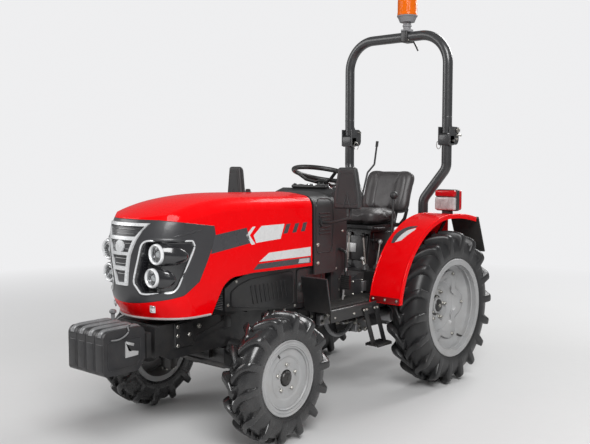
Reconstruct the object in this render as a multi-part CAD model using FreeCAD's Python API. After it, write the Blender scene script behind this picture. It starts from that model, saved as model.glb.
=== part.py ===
"""A compact four wheel drive farm tractor with a folding roll bar, in millimetres.

The tractor faces -Y, +X is its left hand side and +Z is up.  The origin lies on the ground
under the middle of the machine.  Each piece is one STEP file in parts/.
"""
import FreeCAD
import Part
import math
import os

from FreeCAD import Placement, Rotation, Vector

os.makedirs("parts", exist_ok=True)

# ---- overall ----
wheelbase = 1380.0
front_reach = 720.0            # front axle to the face of the front weights
rear_reach = 700.0             # rear axle to the ends of the lower links
overall_length = front_reach + wheelbase + rear_reach
rear_axle_y = overall_length / 2 - rear_reach
front_axle_y = rear_axle_y - wheelbase
seat_gap = 0.3                 # between neighbours that touch in life
plate = 5.0                    # sheet metal of covers and fenders

# ---- rear wheels ----
rear_tyre_radius = 440.0
rear_tyre_width = 210.0
rear_tyre_tread = 176.0        # width of the crown between its shoulders
rear_rim_width = 180.0
rear_seat_radius = 254.0
rear_flange_radius = 280.0
rear_wheel_x = 480.0           # middle of the tyre
rear_hub_inset = 48.0          # hub face, inboard of the tyre's middle
rear_axle_z = rear_tyre_radius

# ---- front wheels ----
front_tyre_radius = 302.0
front_tyre_width = 160.0
front_tyre_tread = 132.0
front_rim_width = 130.0
front_seat_radius = 152.0
front_flange_radius = 172.0
front_wheel_x = 445.0
front_disc_offset = 42.0       # wheel disc, outboard of the tyre's middle
front_hub_radius = 36.0
front_bolt_circle = 62.0
front_bolt_radius = 8.0
front_bolts = 5
front_axle_z = front_tyre_radius
rim_wall = 6.0

# ---- front axle and steering ----
kingpin_x = 315.0
kingpin_radius = 42.0
axle_beam_z = front_axle_z + 92.0
axle_beam_radius = 40.0
steer_arm_length = 118.0
tie_rod_z = front_axle_z + 30.0
tie_rod_radius = 10.0
ball_radius = 15.0

# ---- front frame and weights ----
rail_inner_x = 125.0
rail_thickness = 15.0
rail_outer_x = rail_inner_x + rail_thickness
rail_bottom = 400.0
rail_top = 560.0
rail_back = 560.0              # behind the front axle
weight_count = 4
weight_pitch = 64.0
weight_gap = 3.0
weight_bottom = 383.0
weight_top = 573.0
weight_depth = 215.0
bracket_reach = 65.0           # from the weights back to the rails
rail_front = front_reach - weight_depth - bracket_reach

# ---- engine and driveline ----
engine_front = 120.0           # behind the front axle
engine_length = 470.0
engine_top = 905.0
engine_half_width = rail_inner_x
case_half_width = 140.0
case_bottom = 310.0
case_top = 640.0
clutch_top = 700.0
case_rear = 165.0              # behind the rear axle
drive_shaft_radius = 24.0
drive_shaft_z = 345.0

# ---- hood ----
hood_rear = 870.0              # ahead of the rear axle
hood_nose = 532.0              # ahead of the front axle
hood_half_width = 230.0
hood_top_rear = 1118.0
hood_top_mid = 1127.0
hood_top_nose = 1032.0
hood_bottom = 590.0
hood_wall = 5.0
shoulder_radius = 62.0
shoulder_turn = 79.0           # degrees from the flat side to the crown
crown_drop = 16.0
nose_radius = 260.0            # the front in plan
nose_turn = 43.8               # degrees from the middle to the rounded corner
hinge_drop = 15.0
hinge_setback = 6.0
hinge_pin_radius = 4.0
hinge_eye_radius = 9.0
hinge_x = 50.0
hood_console_gap = 15.0
grille_rim = 13.0
badge_radius = 27.0
upper_lamp_x = 168.0
upper_lamp_radius = 44.0
lower_lamp_x = 149.0
lower_lamp_radius = 41.0
lamp_length = 62.0

# ---- console and steering wheel ----
console_rear = 545.0           # ahead of the rear axle
cowl_length = 180.0
cowl_wall = 8.0
dash_half_width = 200.0
console_top = 1130.0
steering_radius = 190.0
steering_grip = 13.0
steering_y = 490.0             # ahead of the rear axle
steering_z = 1205.0
steering_tilt = 14.0
steering_dish = 70.0
column_radius = 27.0

# ---- platform, fenders and seat ----
floor_z = 515.0
console_floor = floor_z + plate
floor_front = 935.0            # ahead of the rear axle
floor_rear = 300.0
floor_inner_x = 152.0
floor_outer_x = 400.0
floor_outer_rear = 512.0       # ahead of the rear axle, outboard of the fender skirt
step_front = 582.0
step_rear = 452.0
deck_z = case_top
toe_rise = 178.0
step_drop = 222.0
step_lean = 88.0               # the step's legs lean forward by this at their tops
fender_radius = 535.0
fender_inner_x = 345.0
fender_outer_x = 541.0
fender_rear = 290.0            # behind the rear axle
fender_rear_z = 942.0
flap_drop = 212.0
lamp_height = 125.0
seat_width = 372.0
seat_bottom = 905.0
cushion_height = 85.0
cushion_front = 270.0          # ahead of the rear axle
cushion_rear = 46.0            # behind the rear axle
back_height = 278.0
back_lean = 20.0
back_thickness = 76.0

# ---- roll bar ----
post_x = 366.0
post_y = 232.0                 # behind the rear axle
post_radius = 30.0
post_foot_x = 240.0
post_foot_y = 176.0            # behind the rear axle
post_pad_z = 538.0             # top of the pad on the axle trumpet
post_bend_low = 1045.0         # where the post starts to lean out
post_bend_high = 1238.0
post_top = 1440.0
fold_gap = 8.0
cheek = 6.0                    # plates either side of the fold
cheek_gap = 5.0
fold_y = 50.0                  # pivot, behind the post
fold_z = 1466.0
fold_pin_radius = 8.0
hoop_top = 2048.0
hoop_bend = 185.0
beacon_x = 75.0
beacon_radius = 62.0
beacon_height = 135.0
beacon_stem = 60.0             # bar to the beacon's collar
beacon_collar = 40.0

# ---- three point hitch, drawbar and power take-off ----
link_pivot_y = 60.0            # behind the rear axle
link_pivot_z = 330.0
link_pivot_x = 179.0
link_end_x = 350.0
link_end_z = 300.0
link_eye_radius = 26.0
link_bore_radius = 11.2
link_thickness = 35.0
link_bar_radius = 15.0
link_rod_reach = 285.0         # lower link pivot to the lift rod's eye
rock_y = 15.0                  # rockshaft, behind the rear axle
rock_z = 735.0
arm_x = 132.0
rod_radius = 12.0
top_link_y = 205.0
top_link_z = 655.0
top_link_length = 430.0
top_link_bore_radius = 9.65
drawbar_z = 285.0
drawbar_end = 470.0            # behind the rear axle
drawbar_hole_radius = 13.0
pto_radius = 17.5
pto_length = 95.0
pto_shank_radius = 24.0
pto_shoulder = 6.0             # how far the shank stands out of the case
pto_z = 520.0


# ---- helpers ----
def box(x0, x1, y0, y1, z0, z1):
    """A block between two opposite corners."""
    return Part.makeBox(x1 - x0, y1 - y0, z1 - z0, Vector(x0, y0, z0))


def rod(start, end, radius):
    """A round bar between two points."""
    a = Vector(*start)
    b = Vector(*end)
    return Part.makeCylinder(radius, (b - a).Length, a, b - a)


def cone(start, end, radius_a, radius_b):
    """A tapered round bar between two points."""
    a = Vector(*start)
    b = Vector(*end)
    return Part.makeCone(radius_a, radius_b, (b - a).Length, a, b - a)


def outline(points, closed=True):
    """A wire through points; an item (via, end) is an arc through via to end."""
    edges = []
    here = points[0]
    for item in points[1:]:
        if isinstance(item, tuple):
            via, end = item
            edges.append(Part.Arc(here, via, end).toShape())
            here = end
        else:
            edges.append(Part.LineSegment(here, item).toShape())
            here = item
    if closed and (here - points[0]).Length > 1e-6:
        edges.append(Part.LineSegment(here, points[0]).toShape())
    return Part.Wire(edges)


def side_plate(points, x0, x1):
    """A plate whose outline is drawn in the side view as (y, z), from x0 to x1."""
    turned = [tuple(Vector(x0, *p) for p in item) if isinstance(item[0], tuple)
              else Vector(x0, *item) for item in points]
    return Part.Face(outline(turned)).extrude(Vector(x1 - x0, 0, 0))


def front_plate(points, y0, y1):
    """A plate whose outline is drawn in the front view as (x, z), from y0 to y1."""
    turned = [tuple(Vector(p[0], y0, p[1]) for p in item) if isinstance(item[0], tuple)
              else Vector(item[0], y0, item[1]) for item in points]
    return Part.Face(outline(turned)).extrude(Vector(0, y1 - y0, 0))


def turned_ring(points, centre):
    """A body turned about X: its outline is (x, radius) pairs measured from centre."""
    placed = [tuple(Vector(p[0], 0, p[1]) for p in item) if isinstance(item[0], tuple)
              else Vector(item[0], 0, item[1]) for item in points]
    ring = Part.Face(outline(placed)).revolve(Vector(0, 0, 0), Vector(1, 0, 0), 360)
    ring.translate(Vector(*centre))
    return ring


def bent_bar(points, radius, bend):
    """A round bar along straight runs joined by arcs of one bend radius."""
    corners = [Vector(*p) for p in points]
    edges = []
    here = corners[0]
    for before, corner, after in zip(corners, corners[1:], corners[2:]):
        back = (before - corner).normalize()
        ahead = (after - corner).normalize()
        half = math.acos(max(-1, min(1, back.dot(ahead)))) / 2
        reach = bend / math.tan(half)
        first = corner + back * reach
        last = corner + ahead * reach
        inward = (back + ahead).normalize()
        middle = corner + inward * (bend / math.sin(half) - bend)
        edges.append(Part.LineSegment(here, first).toShape())
        edges.append(Part.Arc(first, middle, last).toShape())
        here = last
    edges.append(Part.LineSegment(here, corners[-1]).toShape())
    path = Part.Wire(edges)
    ring = Part.Wire(Part.Circle(corners[0], corners[1] - corners[0], radius).toShape())
    return path.makePipeShell([ring], True, True)


def join(*pieces):
    """Pieces fused into one solid."""
    whole = pieces[0]
    for piece in pieces[1:]:
        whole = whole.fuse(piece)
    return whole.removeSplitter()


def mirrored(shape):
    """The same piece on the other side of the tractor."""
    return shape.mirror(Vector(0, 0, 0), Vector(1, 0, 0))


def save(name, *solids):
    """Writes one node; several solids that do not touch share it as a compound."""
    found = []
    for solid in solids:
        found.extend(solid.Solids)
    shape = found[0] if len(found) == 1 else Part.makeCompound(found)
    shape.exportStep("parts/" + name + ".step")


def save_pair(name, shape):
    """Writes the left piece and its mirror image as two nodes."""
    save(name + "_left", shape)
    save(name + "_right", mirrored(shape))


def ahead(distance):
    """The y of a place ahead of the rear axle."""
    return rear_axle_y - distance


def behind(distance):
    """The y of a place behind the rear axle."""
    return rear_axle_y + distance


def past_front(distance):
    """The y of a place ahead of the front axle."""
    return front_axle_y - distance


# ---- wheels ----
def tyre(radius, width, tread, rim_width, seat_radius, flange_radius):
    """A tyre's body about X, from its bead seat to the tips of its lugs."""
    bead = rim_width / 2 - rim_wall - seat_gap
    base = seat_radius + seat_gap
    lip = flange_radius + 2
    shoulder = radius - 16
    middle = lip + (shoulder - lip) * 0.5
    return [(-bead, base), (-bead, lip), ((-width / 2, middle), (-tread / 2, shoulder)),
            ((0, radius), (tread / 2, shoulder)), ((width / 2, middle), (bead, lip)),
            (bead, base)]


def rim_channel(width, seat_radius, flange_radius):
    """The rim's channel about X."""
    edge = width / 2
    return [(-edge, seat_radius - rim_wall), (-edge, flange_radius),
            (-edge + rim_wall, flange_radius), (-edge + rim_wall, seat_radius),
            (edge - rim_wall, seat_radius), (edge - rim_wall, flange_radius),
            (edge, flange_radius), (edge, seat_radius - rim_wall)]


def bolt_holes(centre, circle, radius, count, depth):
    """Drills for wheel bolts along X."""
    drills = []
    for index in range(count):
        angle = 2 * math.pi * index / count
        y = centre[1] + circle * math.cos(angle)
        z = centre[2] + circle * math.sin(angle)
        drills.append(rod((centre[0] - depth, y, z), (centre[0] + depth, y, z), radius))
    return drills


def rear_wheel():
    centre = (rear_wheel_x, rear_axle_y, rear_axle_z)
    rubber = turned_ring(tyre(rear_tyre_radius, rear_tyre_width, rear_tyre_tread,
                              rear_rim_width, rear_seat_radius, rear_flange_radius), centre)
    channel = turned_ring(rim_channel(rear_rim_width, rear_seat_radius, rear_flange_radius),
                          centre)
    inner = rear_seat_radius - rim_wall
    face = -rear_hub_inset
    dish = [(face, 0), (face, 118), (face + 22, 150), (face + 34, 205), (face + 72, inner + 1),
            (face + 84, inner + 1), (face + 44, 200), (face + 32, 142), (face + 9, 112),
            (face + 9, 50), (face + 26, 46), (face + 30, 36), (face + 30, 0)]
    disc = turned_ring(dish, centre)
    for drill in bolt_holes((centre[0] + face, centre[1], centre[2]), 84, 9, 6, 30):
        disc = disc.cut(drill)
    return rubber, join(channel, disc)


def front_wheel():
    centre = (front_wheel_x, front_axle_y, front_axle_z)
    rubber = turned_ring(tyre(front_tyre_radius, front_tyre_width, front_tyre_tread,
                              front_rim_width, front_seat_radius, front_flange_radius), centre)
    channel = turned_ring(rim_channel(front_rim_width, front_seat_radius,
                                      front_flange_radius), centre)
    inner = front_seat_radius - rim_wall
    face = front_disc_offset
    dish = [(face, front_hub_radius + 3), (face, 96), (face + 5, 104), (face + 5, inner + 1),
            (face + 12, inner + 1), (face + 12, 102), (face + 7, 92),
            (face + 7, front_hub_radius + 3)]
    disc = turned_ring(dish, centre)
    spot = (centre[0] + face, centre[1], centre[2])
    for drill in bolt_holes(spot, front_bolt_circle, front_bolt_radius, front_bolts, 30):
        disc = disc.cut(drill)
    return rubber, join(channel, disc)


rear_tyre, rear_rim = rear_wheel()
save_pair("rear_tyre", rear_tyre)
save_pair("rear_rim", rear_rim)
front_tyre, front_rim = front_wheel()
save_pair("front_tyre", front_tyre)
save_pair("front_rim", front_rim)


# ---- front axle ----
def front_axle():
    """The axle beam with its differential bulge, pivot boss and fixed bevel cases."""
    y = front_axle_y
    beam = rod((-kingpin_x, y, axle_beam_z), (kingpin_x, y, axle_beam_z), axle_beam_radius)
    beam = beam.cut(box(-rail_outer_x - 12, rail_outer_x + 12, y - 90, y + 90, rail_bottom - 8,
                        axle_beam_z + axle_beam_radius + 5))
    low_z = rail_bottom - 8
    bulge = box(-rail_outer_x, rail_outer_x, y - 46, y + 46, drive_shaft_z - 52, low_z)
    nose = cone((40, y + 40, drive_shaft_z), (40, y + 120, drive_shaft_z), 52, 38)
    parts = [beam, bulge, nose]
    for side in (-1, 1):
        x = side * kingpin_x
        top = axle_beam_z + axle_beam_radius + 8
        parts.append(rod((x, y, front_axle_z + 52), (x, y, top), kingpin_radius))
        parts.append(rod((x, y, top), (x, y, top + 10), kingpin_radius - 14))
    return join(*parts)


def knuckle():
    """The steered final drive case: kingpin barrel, hub and steering arm, left side."""
    y = front_axle_y
    top = front_axle_z + 52 - seat_gap
    barrel = rod((kingpin_x, y, front_axle_z - 78), (kingpin_x, y, top), kingpin_radius)
    foot = rod((kingpin_x, y, front_axle_z - 90), (kingpin_x, y, front_axle_z - 78),
               kingpin_radius - 12)
    face = front_wheel_x + front_disc_offset - seat_gap
    hub = rod((kingpin_x, y, front_axle_z), (face - 26, y, front_axle_z), 49)
    flange = rod((face - 26, y, front_axle_z), (face, y, front_axle_z), 82)
    spigot = rod((face, y, front_axle_z), (face + 12, y, front_axle_z), front_hub_radius - 4)
    arm_end = y - steer_arm_length
    arm = box(kingpin_x - 16, kingpin_x + 16, arm_end, y, tie_rod_z - 24, tie_rod_z - 8)
    eye = rod((kingpin_x, arm_end, tie_rod_z - 24), (kingpin_x, arm_end, tie_rod_z - 8), 20)
    stud = rod((kingpin_x, arm_end, tie_rod_z - 9), (kingpin_x, arm_end, tie_rod_z + 17), 7)
    return join(barrel, foot, hub, flange, spigot, arm, eye, stud)


def tie_rod():
    """The track rod between the two steering arms, with an eye at each end."""
    y = front_axle_y - steer_arm_length
    bar = rod((-kingpin_x, y, tie_rod_z + 4), (kingpin_x, y, tie_rod_z + 4), tie_rod_radius)
    pieces = [bar]
    for side in (-1, 1):
        x = side * kingpin_x
        pieces.append(rod((x, y, tie_rod_z - 7), (x, y, tie_rod_z + 14), ball_radius))
    body = join(*pieces)
    for side in (-1, 1):
        x = side * kingpin_x
        body = body.cut(rod((x, y, tie_rod_z - 20), (x, y, tie_rod_z + 30), 7 + seat_gap))
    return body


save("front_axle", front_axle())
save_pair("knuckle", knuckle())
save("tie_rod", tie_rod())


# ---- frame, weights, engine and driveline ----
def front_frame():
    """Two side rails, their cross members and the hangers that carry the axle pivot."""
    front = past_front(rail_front)
    back = front_axle_y + rail_back
    rail = side_plate([(front, rail_bottom + 30), (front, rail_top), (back, rail_top),
                       (back, rail_bottom), (front + 60, rail_bottom)],
                      rail_inner_x, rail_outer_x)
    cross = box(-rail_inner_x, rail_inner_x, front, front + 18, rail_bottom + 30, rail_top)
    tray = box(-rail_inner_x, rail_inner_x, front + 18, front + 210, rail_top - 14, rail_top)
    hanger_a = box(-62, 62, front_axle_y - 70, front_axle_y - 46 - seat_gap, drive_shaft_z - 8,
                   rail_bottom + 34)
    tie_a = box(-rail_inner_x, rail_inner_x, front_axle_y - 70, front_axle_y - 46 - seat_gap,
                rail_bottom, rail_bottom + 34)
    hanger_b = box(-rail_inner_x, rail_inner_x, front_axle_y + 50, front_axle_y + 82,
                   rail_bottom, rail_bottom + 34)
    return join(rail, mirrored(rail), cross, tray, hanger_a, tie_a, hanger_b)


def weight_bracket():
    """The carrier bolted to the front of the rails; the weights hang on its bar."""
    back = past_front(rail_front)
    bar_front = past_front(front_reach - weight_depth)
    plate_block = box(-rail_outer_x, rail_outer_x, back - 22, back, rail_bottom + 20,
                      rail_top - 6)
    arms = []
    for side in (-1, 1):
        x = side * 96
        arms.append(box(x - 12, x + 12, bar_front + 4, back - 20, rail_bottom + 50,
                        rail_top - 30))
    bar = box(-rail_outer_x + 4, rail_outer_x - 4, bar_front + seat_gap, bar_front + 26,
              rail_bottom + 30, rail_top - 22)
    return join(plate_block, bar, *arms)


def front_weight(index):
    """One slab weight with a rounded top rib and a hand hole."""
    x0 = (index - weight_count / 2) * weight_pitch + weight_gap / 2
    x1 = x0 + weight_pitch - weight_gap
    front = past_front(front_reach)
    back = front + weight_depth
    slab = side_plate([(front, weight_bottom + 18),
                       ((front + 5, weight_bottom + 5), (front + 18, weight_bottom)),
                       (back - 40, weight_bottom), (back, weight_bottom + 46),
                       (back, weight_top - 30),
                       ((back - 9, weight_top - 9), (back - 30, weight_top)),
                       (front + 30, weight_top),
                       ((front + 9, weight_top - 9), (front, weight_top - 30))], x0, x1)
    grip = side_plate([(front + 52, weight_top - 42), (front + 128, weight_top - 42),
                       (front + 128, weight_top - 18), (front + 52, weight_top - 18)],
                      x0 - 1, x0 + 10)
    return slab.cut(grip)


def engine_block():
    """The engine as one plain block between the rails."""
    y0 = front_axle_y + engine_front
    y1 = y0 + engine_length
    return box(-engine_half_width, engine_half_width, y0, y1, rail_bottom + 44, engine_top)


def radiator():
    """The radiator with its fan shroud, standing on the rails ahead of the engine."""
    y0 = past_front(80)
    core = box(-185, 185, y0, y0 + 62, rail_top, 985)
    shroud = rod((0, y0 + 62, 790), (0, y0 + 108, 790), 158)
    return join(core, shroud)


def battery():
    """The battery on its tray ahead of the radiator."""
    y0 = past_front(300)
    return box(-112, 112, y0, y0 + 150, rail_top, rail_top + 205)


def transmission():
    """The clutch housing and gear case down to the rear end."""
    y_front = front_axle_y + engine_front + engine_length
    y_mid = ahead(430)
    y_back = behind(case_rear)
    clutch = side_plate([(y_front, rail_bottom + 44), (y_front, clutch_top), (y_mid, case_top - 30),
                         (y_mid, case_bottom), (y_front + 60, case_bottom)],
                        -engine_half_width, engine_half_width)
    case = side_plate([(y_mid, case_bottom), (y_mid, case_top - 30), (y_mid + 90, case_top),
                       (y_back - 30, case_top), (y_back, case_top - 60),
                       (y_back, case_bottom + 30), (y_back - 40, case_bottom)],
                      -case_half_width, case_half_width)
    lift = box(-105, 105, ahead(120), behind(case_rear - 10), case_top, rock_z + 48)
    body = join(clutch, case, lift)
    rock = rod((-200, behind(rock_y), rock_z), (200, behind(rock_y), rock_z), 22 + seat_gap)
    socket = rod((0, behind(case_rear) - 60, pto_z), (0, behind(case_rear) + 1, pto_z),
                 pto_shank_radius + seat_gap)
    return body.cut(rock).cut(socket)


def rear_axle():
    """The two axle trumpets with their end flanges and the link brackets under them."""
    face = rear_wheel_x - rear_hub_inset - seat_gap
    y = rear_axle_y
    z = rear_axle_z
    left = join(rod((case_half_width, y, z), (case_half_width + 26, y, z), 92),
                cone((case_half_width + 26, y, z), (face - 60, y, z), 86, 62),
                rod((face - 60, y, z), (face - 26, y, z), 84),
                rod((face - 26, y, z), (face, y, z), 96),
                box(case_half_width, case_half_width + 14, behind(link_pivot_y) - 34,
                    behind(link_pivot_y) + 34, link_pivot_z - 34, z - 60),
                box(post_foot_x - 40, post_foot_x + 40, y - 55, y + 55, z, post_pad_z),
                rod((case_half_width, behind(link_pivot_y), link_pivot_z),
                    (link_pivot_x + link_thickness / 2 + 6, behind(link_pivot_y), link_pivot_z),
                    11))
    return left, mirrored(left)


def front_drive_shaft():
    """The covered shaft from the gear case to the front axle."""
    return rod((40, front_axle_y + 120 + seat_gap, drive_shaft_z),
               (40, front_axle_y + engine_front + engine_length + 60 + 30, drive_shaft_z),
               drive_shaft_radius)


save("front_frame", front_frame())
save("weight_bracket", weight_bracket())
save("front_weights", *[front_weight(index) for index in range(weight_count)])
save("engine_block", engine_block())
save("radiator", radiator())
save("battery", battery())
shaft = front_drive_shaft()
save("front_drive_shaft", shaft.cut(transmission()))
save("transmission", transmission())
save("rear_axle", *rear_axle())


# ---- hood ----
def hood_section(y, half_width, top, bottom, grow):
    """A cross-section of the hood: flat sides, rounded shoulders and a crowned top."""
    w = half_width + grow
    t = top + grow
    r = shoulder_radius + grow
    turn = math.radians(shoulder_turn)
    x_crown = w - 5 - r * (1 - math.cos(turn))
    z_crown = t - crown_drop
    z_side = z_crown - r * math.sin(turn)
    x_mid = w - 5 - r * (1 - math.cos(turn / 2))
    z_mid = z_side + r * math.sin(turn / 2)
    return outline([Vector(-w, y, bottom), Vector(-w + 5, y, z_side),
                    (Vector(-x_mid, y, z_mid), Vector(-x_crown, y, z_crown)),
                    (Vector(0, y, t), Vector(x_crown, y, z_crown)),
                    (Vector(x_mid, y, z_mid), Vector(w - 5, y, z_side)),
                    Vector(w, y, bottom)])


def nose_plan(z, front, grow):
    """The hood's plan outline at a height: round front, tighter corners, straight sides."""
    w = hood_half_width + grow
    f = front - grow
    back = ahead(hood_rear) + 60
    turn = math.radians(nose_turn)
    half = (turn + math.pi / 2) / 2
    r = nose_radius + grow
    x_turn = r * math.sin(turn)
    y_turn = f + r * (1 - math.cos(turn))
    corner = (w - x_turn) / (1 - math.sin(turn))
    x_mid = x_turn + corner * (math.sin(half) - math.sin(turn))
    y_mid = y_turn + corner * (math.cos(turn) - math.cos(half))
    y_side = y_turn + corner * math.cos(turn)
    return outline([Vector(-w, back, z), Vector(-w, y_side, z),
                    (Vector(-x_mid, y_mid, z), Vector(-x_turn, y_turn, z)),
                    (Vector(0, f, z), Vector(x_turn, y_turn, z)),
                    (Vector(x_mid, y_mid, z), Vector(w, y_side, z)), Vector(w, back, z)])


def hood_body(grow, bottom):
    """The hood as a solid that runs on past its rear edge, larger or smaller by grow."""
    n = past_front(hood_nose)
    w = hood_half_width
    rear = ahead(hood_rear)
    stations = [(n - 60, w, hood_top_nose - 50), (n + 38, w, hood_top_nose),
                (n + 254, w, hood_top_mid - 24), (n + 503, w, hood_top_mid),
                (rear, w - 3, hood_top_rear), (rear + 50, w - 3, hood_top_rear - 2)]
    loft = Part.makeLoft([hood_section(y, half, top, bottom, grow)
                          for y, half, top in stations], True, False)
    rake = [(hood_bottom - 60, 85), (hood_bottom + 60, 28), (hood_bottom + 140, 8),
            (hood_bottom + 250, 0), (hood_bottom + 340, 3), (hood_bottom + 400, 18),
            (hood_top_nose, 38), (hood_top_mid + 60, 125)]
    column = Part.makeLoft([nose_plan(z, n + setback, grow) for z, setback in rake], True,
                           False)
    return loft.common(column)


def wheel_arch():
    """What is cut from the hood's lower edge, in the side view."""
    y0 = past_front(hood_nose) + 326
    rear = ahead(hood_rear) + 80
    return side_plate([(y0, hood_bottom - 60), (y0, hood_bottom), (y0 + 63, 692),
                       ((y0 + 105, 730), (y0 + 175, 745)), (y0 + 268, 750), (rear, 738),
                       (rear, hood_bottom - 60)], -hood_half_width - 50, hood_half_width + 50)


def mask_region():
    """Where the dark mask replaces the painted skin, in the side view."""
    n = past_front(hood_nose)
    return side_plate([(n - 100, 648), (n + 15, 656), (n + 70, 674), (n + 165, 694),
                       (n + 255, 746), (n + 304, 830), (n + 342, 904), (n + 358, 945),
                       (n + 352, 989), (n + 212, 1008), (n + 90, 1026), (n - 100, 1034)],
                      -hood_half_width - 50, hood_half_width + 50)


def lamp_barrel(x, y, z, radius):
    """A lamp barrel that looks straight ahead, its lens at y."""
    return rod((x, y, z), (x, y + lamp_length, z), radius)


def head_lamps(grow):
    """The upper and lower lamp on each side, larger by grow."""
    n = past_front(hood_nose)
    upper = lamp_barrel(upper_lamp_x, n + 62, hood_bottom + 289, upper_lamp_radius + grow)
    lower = lamp_barrel(lower_lamp_x, n + 52, hood_bottom + 186, lower_lamp_radius + grow)
    return [upper, lower, mirrored(upper), mirrored(lower)]


def grille_outline(rim):
    """The grille's shield shape in the front view, narrower by rim all round."""
    top = hood_bottom + 423 - rim
    low = hood_bottom + 149 + rim
    flank = [(132, top), (108, top - 32), (90, hood_bottom + 353), (63, hood_bottom + 283),
             (51, hood_bottom + 222), (38, low)]
    right = [(x - rim, z) for x, z in flank]
    left = [(-x, z) for x, z in reversed(right)]
    return right + left


def grille_frame():
    """The bright surround and its cross bars, with a blank round badge."""
    n = past_front(hood_nose)
    whole = front_plate(grille_outline(0), n - 40, n + 140)
    frame = whole.cut(front_plate(grille_outline(grille_rim), n - 50, n + 150))
    bars = []
    for z, half in ((225, 9), (290, 7), (357, 8)):
        bars.append(box(-130, 130, n - 30, n + 130, hood_bottom + z - half,
                        hood_bottom + z + half))
    badge = rod((0, n - 30, hood_bottom + 321), (0, n + 130, hood_bottom + 321), badge_radius)
    raw = join(frame, badge, *bars).common(whole)
    return raw.common(hood_body(9, hood_bottom)).cut(hood_body(seat_gap, hood_bottom))


def hood():
    """The painted shell and the dark mask set into its nose."""
    rear = ahead(hood_rear)
    outer = hood_body(0, hood_bottom)
    inner = hood_body(-hood_wall, hood_bottom - 40)
    beyond = box(-hood_half_width - 20, hood_half_width + 20, rear, rear + 90,
                 hood_bottom - 60, hood_top_mid + 60)
    shell = outer.cut(inner).cut(wheel_arch()).cut(beyond)
    mask = shell.common(mask_region())
    shell = shell.cut(mask_region())
    for lamp in head_lamps(seat_gap):
        mask = mask.cut(lamp)
    y = rear - hinge_setback
    z = hood_top_rear - hinge_drop
    for side in (-1, 1):
        x = side * hinge_x
        eye = rod((x - 8, y, z), (x + 8, y, z), hinge_eye_radius)
        strap = box(x - 8, x + 8, y - hinge_eye_radius, rear, z, z + hinge_drop + 5)
        eye = eye.fuse(strap).common(outer)
        shell = shell.fuse(eye)
        shell = shell.cut(rod((x - 9, y, z), (x + 9, y, z), hinge_pin_radius + seat_gap))
    return shell, mask


hood_shell, grille_mask = hood()
save("hood_shell", hood_shell)
save("grille_mask", grille_mask)
save("grille_frame", grille_frame())
save("head_lamps", *head_lamps(0))


def side_cover():
    """The dark engine side panel below the hood, left side, with its two stays."""
    x1 = hood_half_width - 25
    x0 = x1 - plate
    y0 = past_front(100)
    y1 = ahead(740)
    floor_edge = floor_z + plate + seat_gap
    panel = side_plate([(y0, 583), (y0, 690), (y0 + 60, 722), (y0 + 150, 745), (y1, 760),
                        (y1, floor_edge), (ahead(floor_front) - 12, floor_edge + 6)], x0, x1)
    stays = []
    for y in (y0 + 150, front_axle_y + 420):
        stays.append(box(rail_inner_x, x0 + 1, y, y + 30, rail_top, rail_top + 8))
    return join(panel, *stays)


save("side_covers", side_cover(), mirrored(side_cover()))


# ---- console, steering column and wheel ----
steering_centre = Vector(0, ahead(steering_y), steering_z)
steering_axis = Vector(0, math.sin(math.radians(steering_tilt)),
                       math.cos(math.radians(steering_tilt)))


def dash_console():
    """The console behind the hood: cowl, sloping dash and the pedestal down to the floor."""
    front = ahead(hood_rear) + hood_console_gap
    rear = ahead(console_rear)
    cowl = Part.Face(hood_section(front, hood_half_width - 3, hood_top_rear, 690,
                                  0)).extrude(Vector(0, cowl_length, 0))
    room = Part.Face(hood_section(front - 1, hood_half_width - 3, hood_top_rear, 680,
                                  -cowl_wall)).extrude(Vector(0, cowl_length - cowl_wall, 0))
    cowl = cowl.cut(room)
    step = front + cowl_length - cowl_wall
    dash = side_plate([(step, console_floor), (step, hood_top_rear - 8),
                       (front + 235, console_top), (rear - 20, console_top - 18),
                       (rear, console_top - 60), (rear, console_floor + 190),
                       (rear - 70, console_floor + 120), (rear - 70, console_floor)],
                      -dash_half_width, dash_half_width)
    tunnel = box(-engine_half_width - 8, engine_half_width + 8, step - 1, rear + 1,
                 console_floor - 10, clutch_top + 12)
    body = join(cowl, dash).cut(tunnel)
    column = rod(tuple(steering_centre - steering_axis * (steering_dish + 20)),
                 tuple(steering_centre - steering_axis * 190), column_radius + seat_gap)
    y = ahead(hood_rear) - hinge_setback
    z = hood_top_rear - hinge_drop
    for side in (-1, 1):
        x = side * (hinge_x + 8 + seat_gap)
        near, far = sorted((x, x + side * 6))
        lug = box(near, far, y - 3, front + 14, z - 9, z - 3.2)
        lug = lug.fuse(box(near, far, front + 1, front + 14, z - 9, z + hinge_drop - 4))
        tip = rod((x, y, z), (x + side * 6, y, z), hinge_pin_radius + 1)
        pin = rod((side * (hinge_x - 8), y, z), (side * (hinge_x + 12), y, z),
                  hinge_pin_radius)
        body = join(body, lug, tip, pin)
    return body.cut(column)


def steering_column():
    """The column tube that carries the steering wheel."""
    top = steering_centre - steering_axis * (steering_dish + 10 + seat_gap)
    foot = steering_centre - steering_axis * 188
    return rod(tuple(foot), tuple(top), column_radius)


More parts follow.
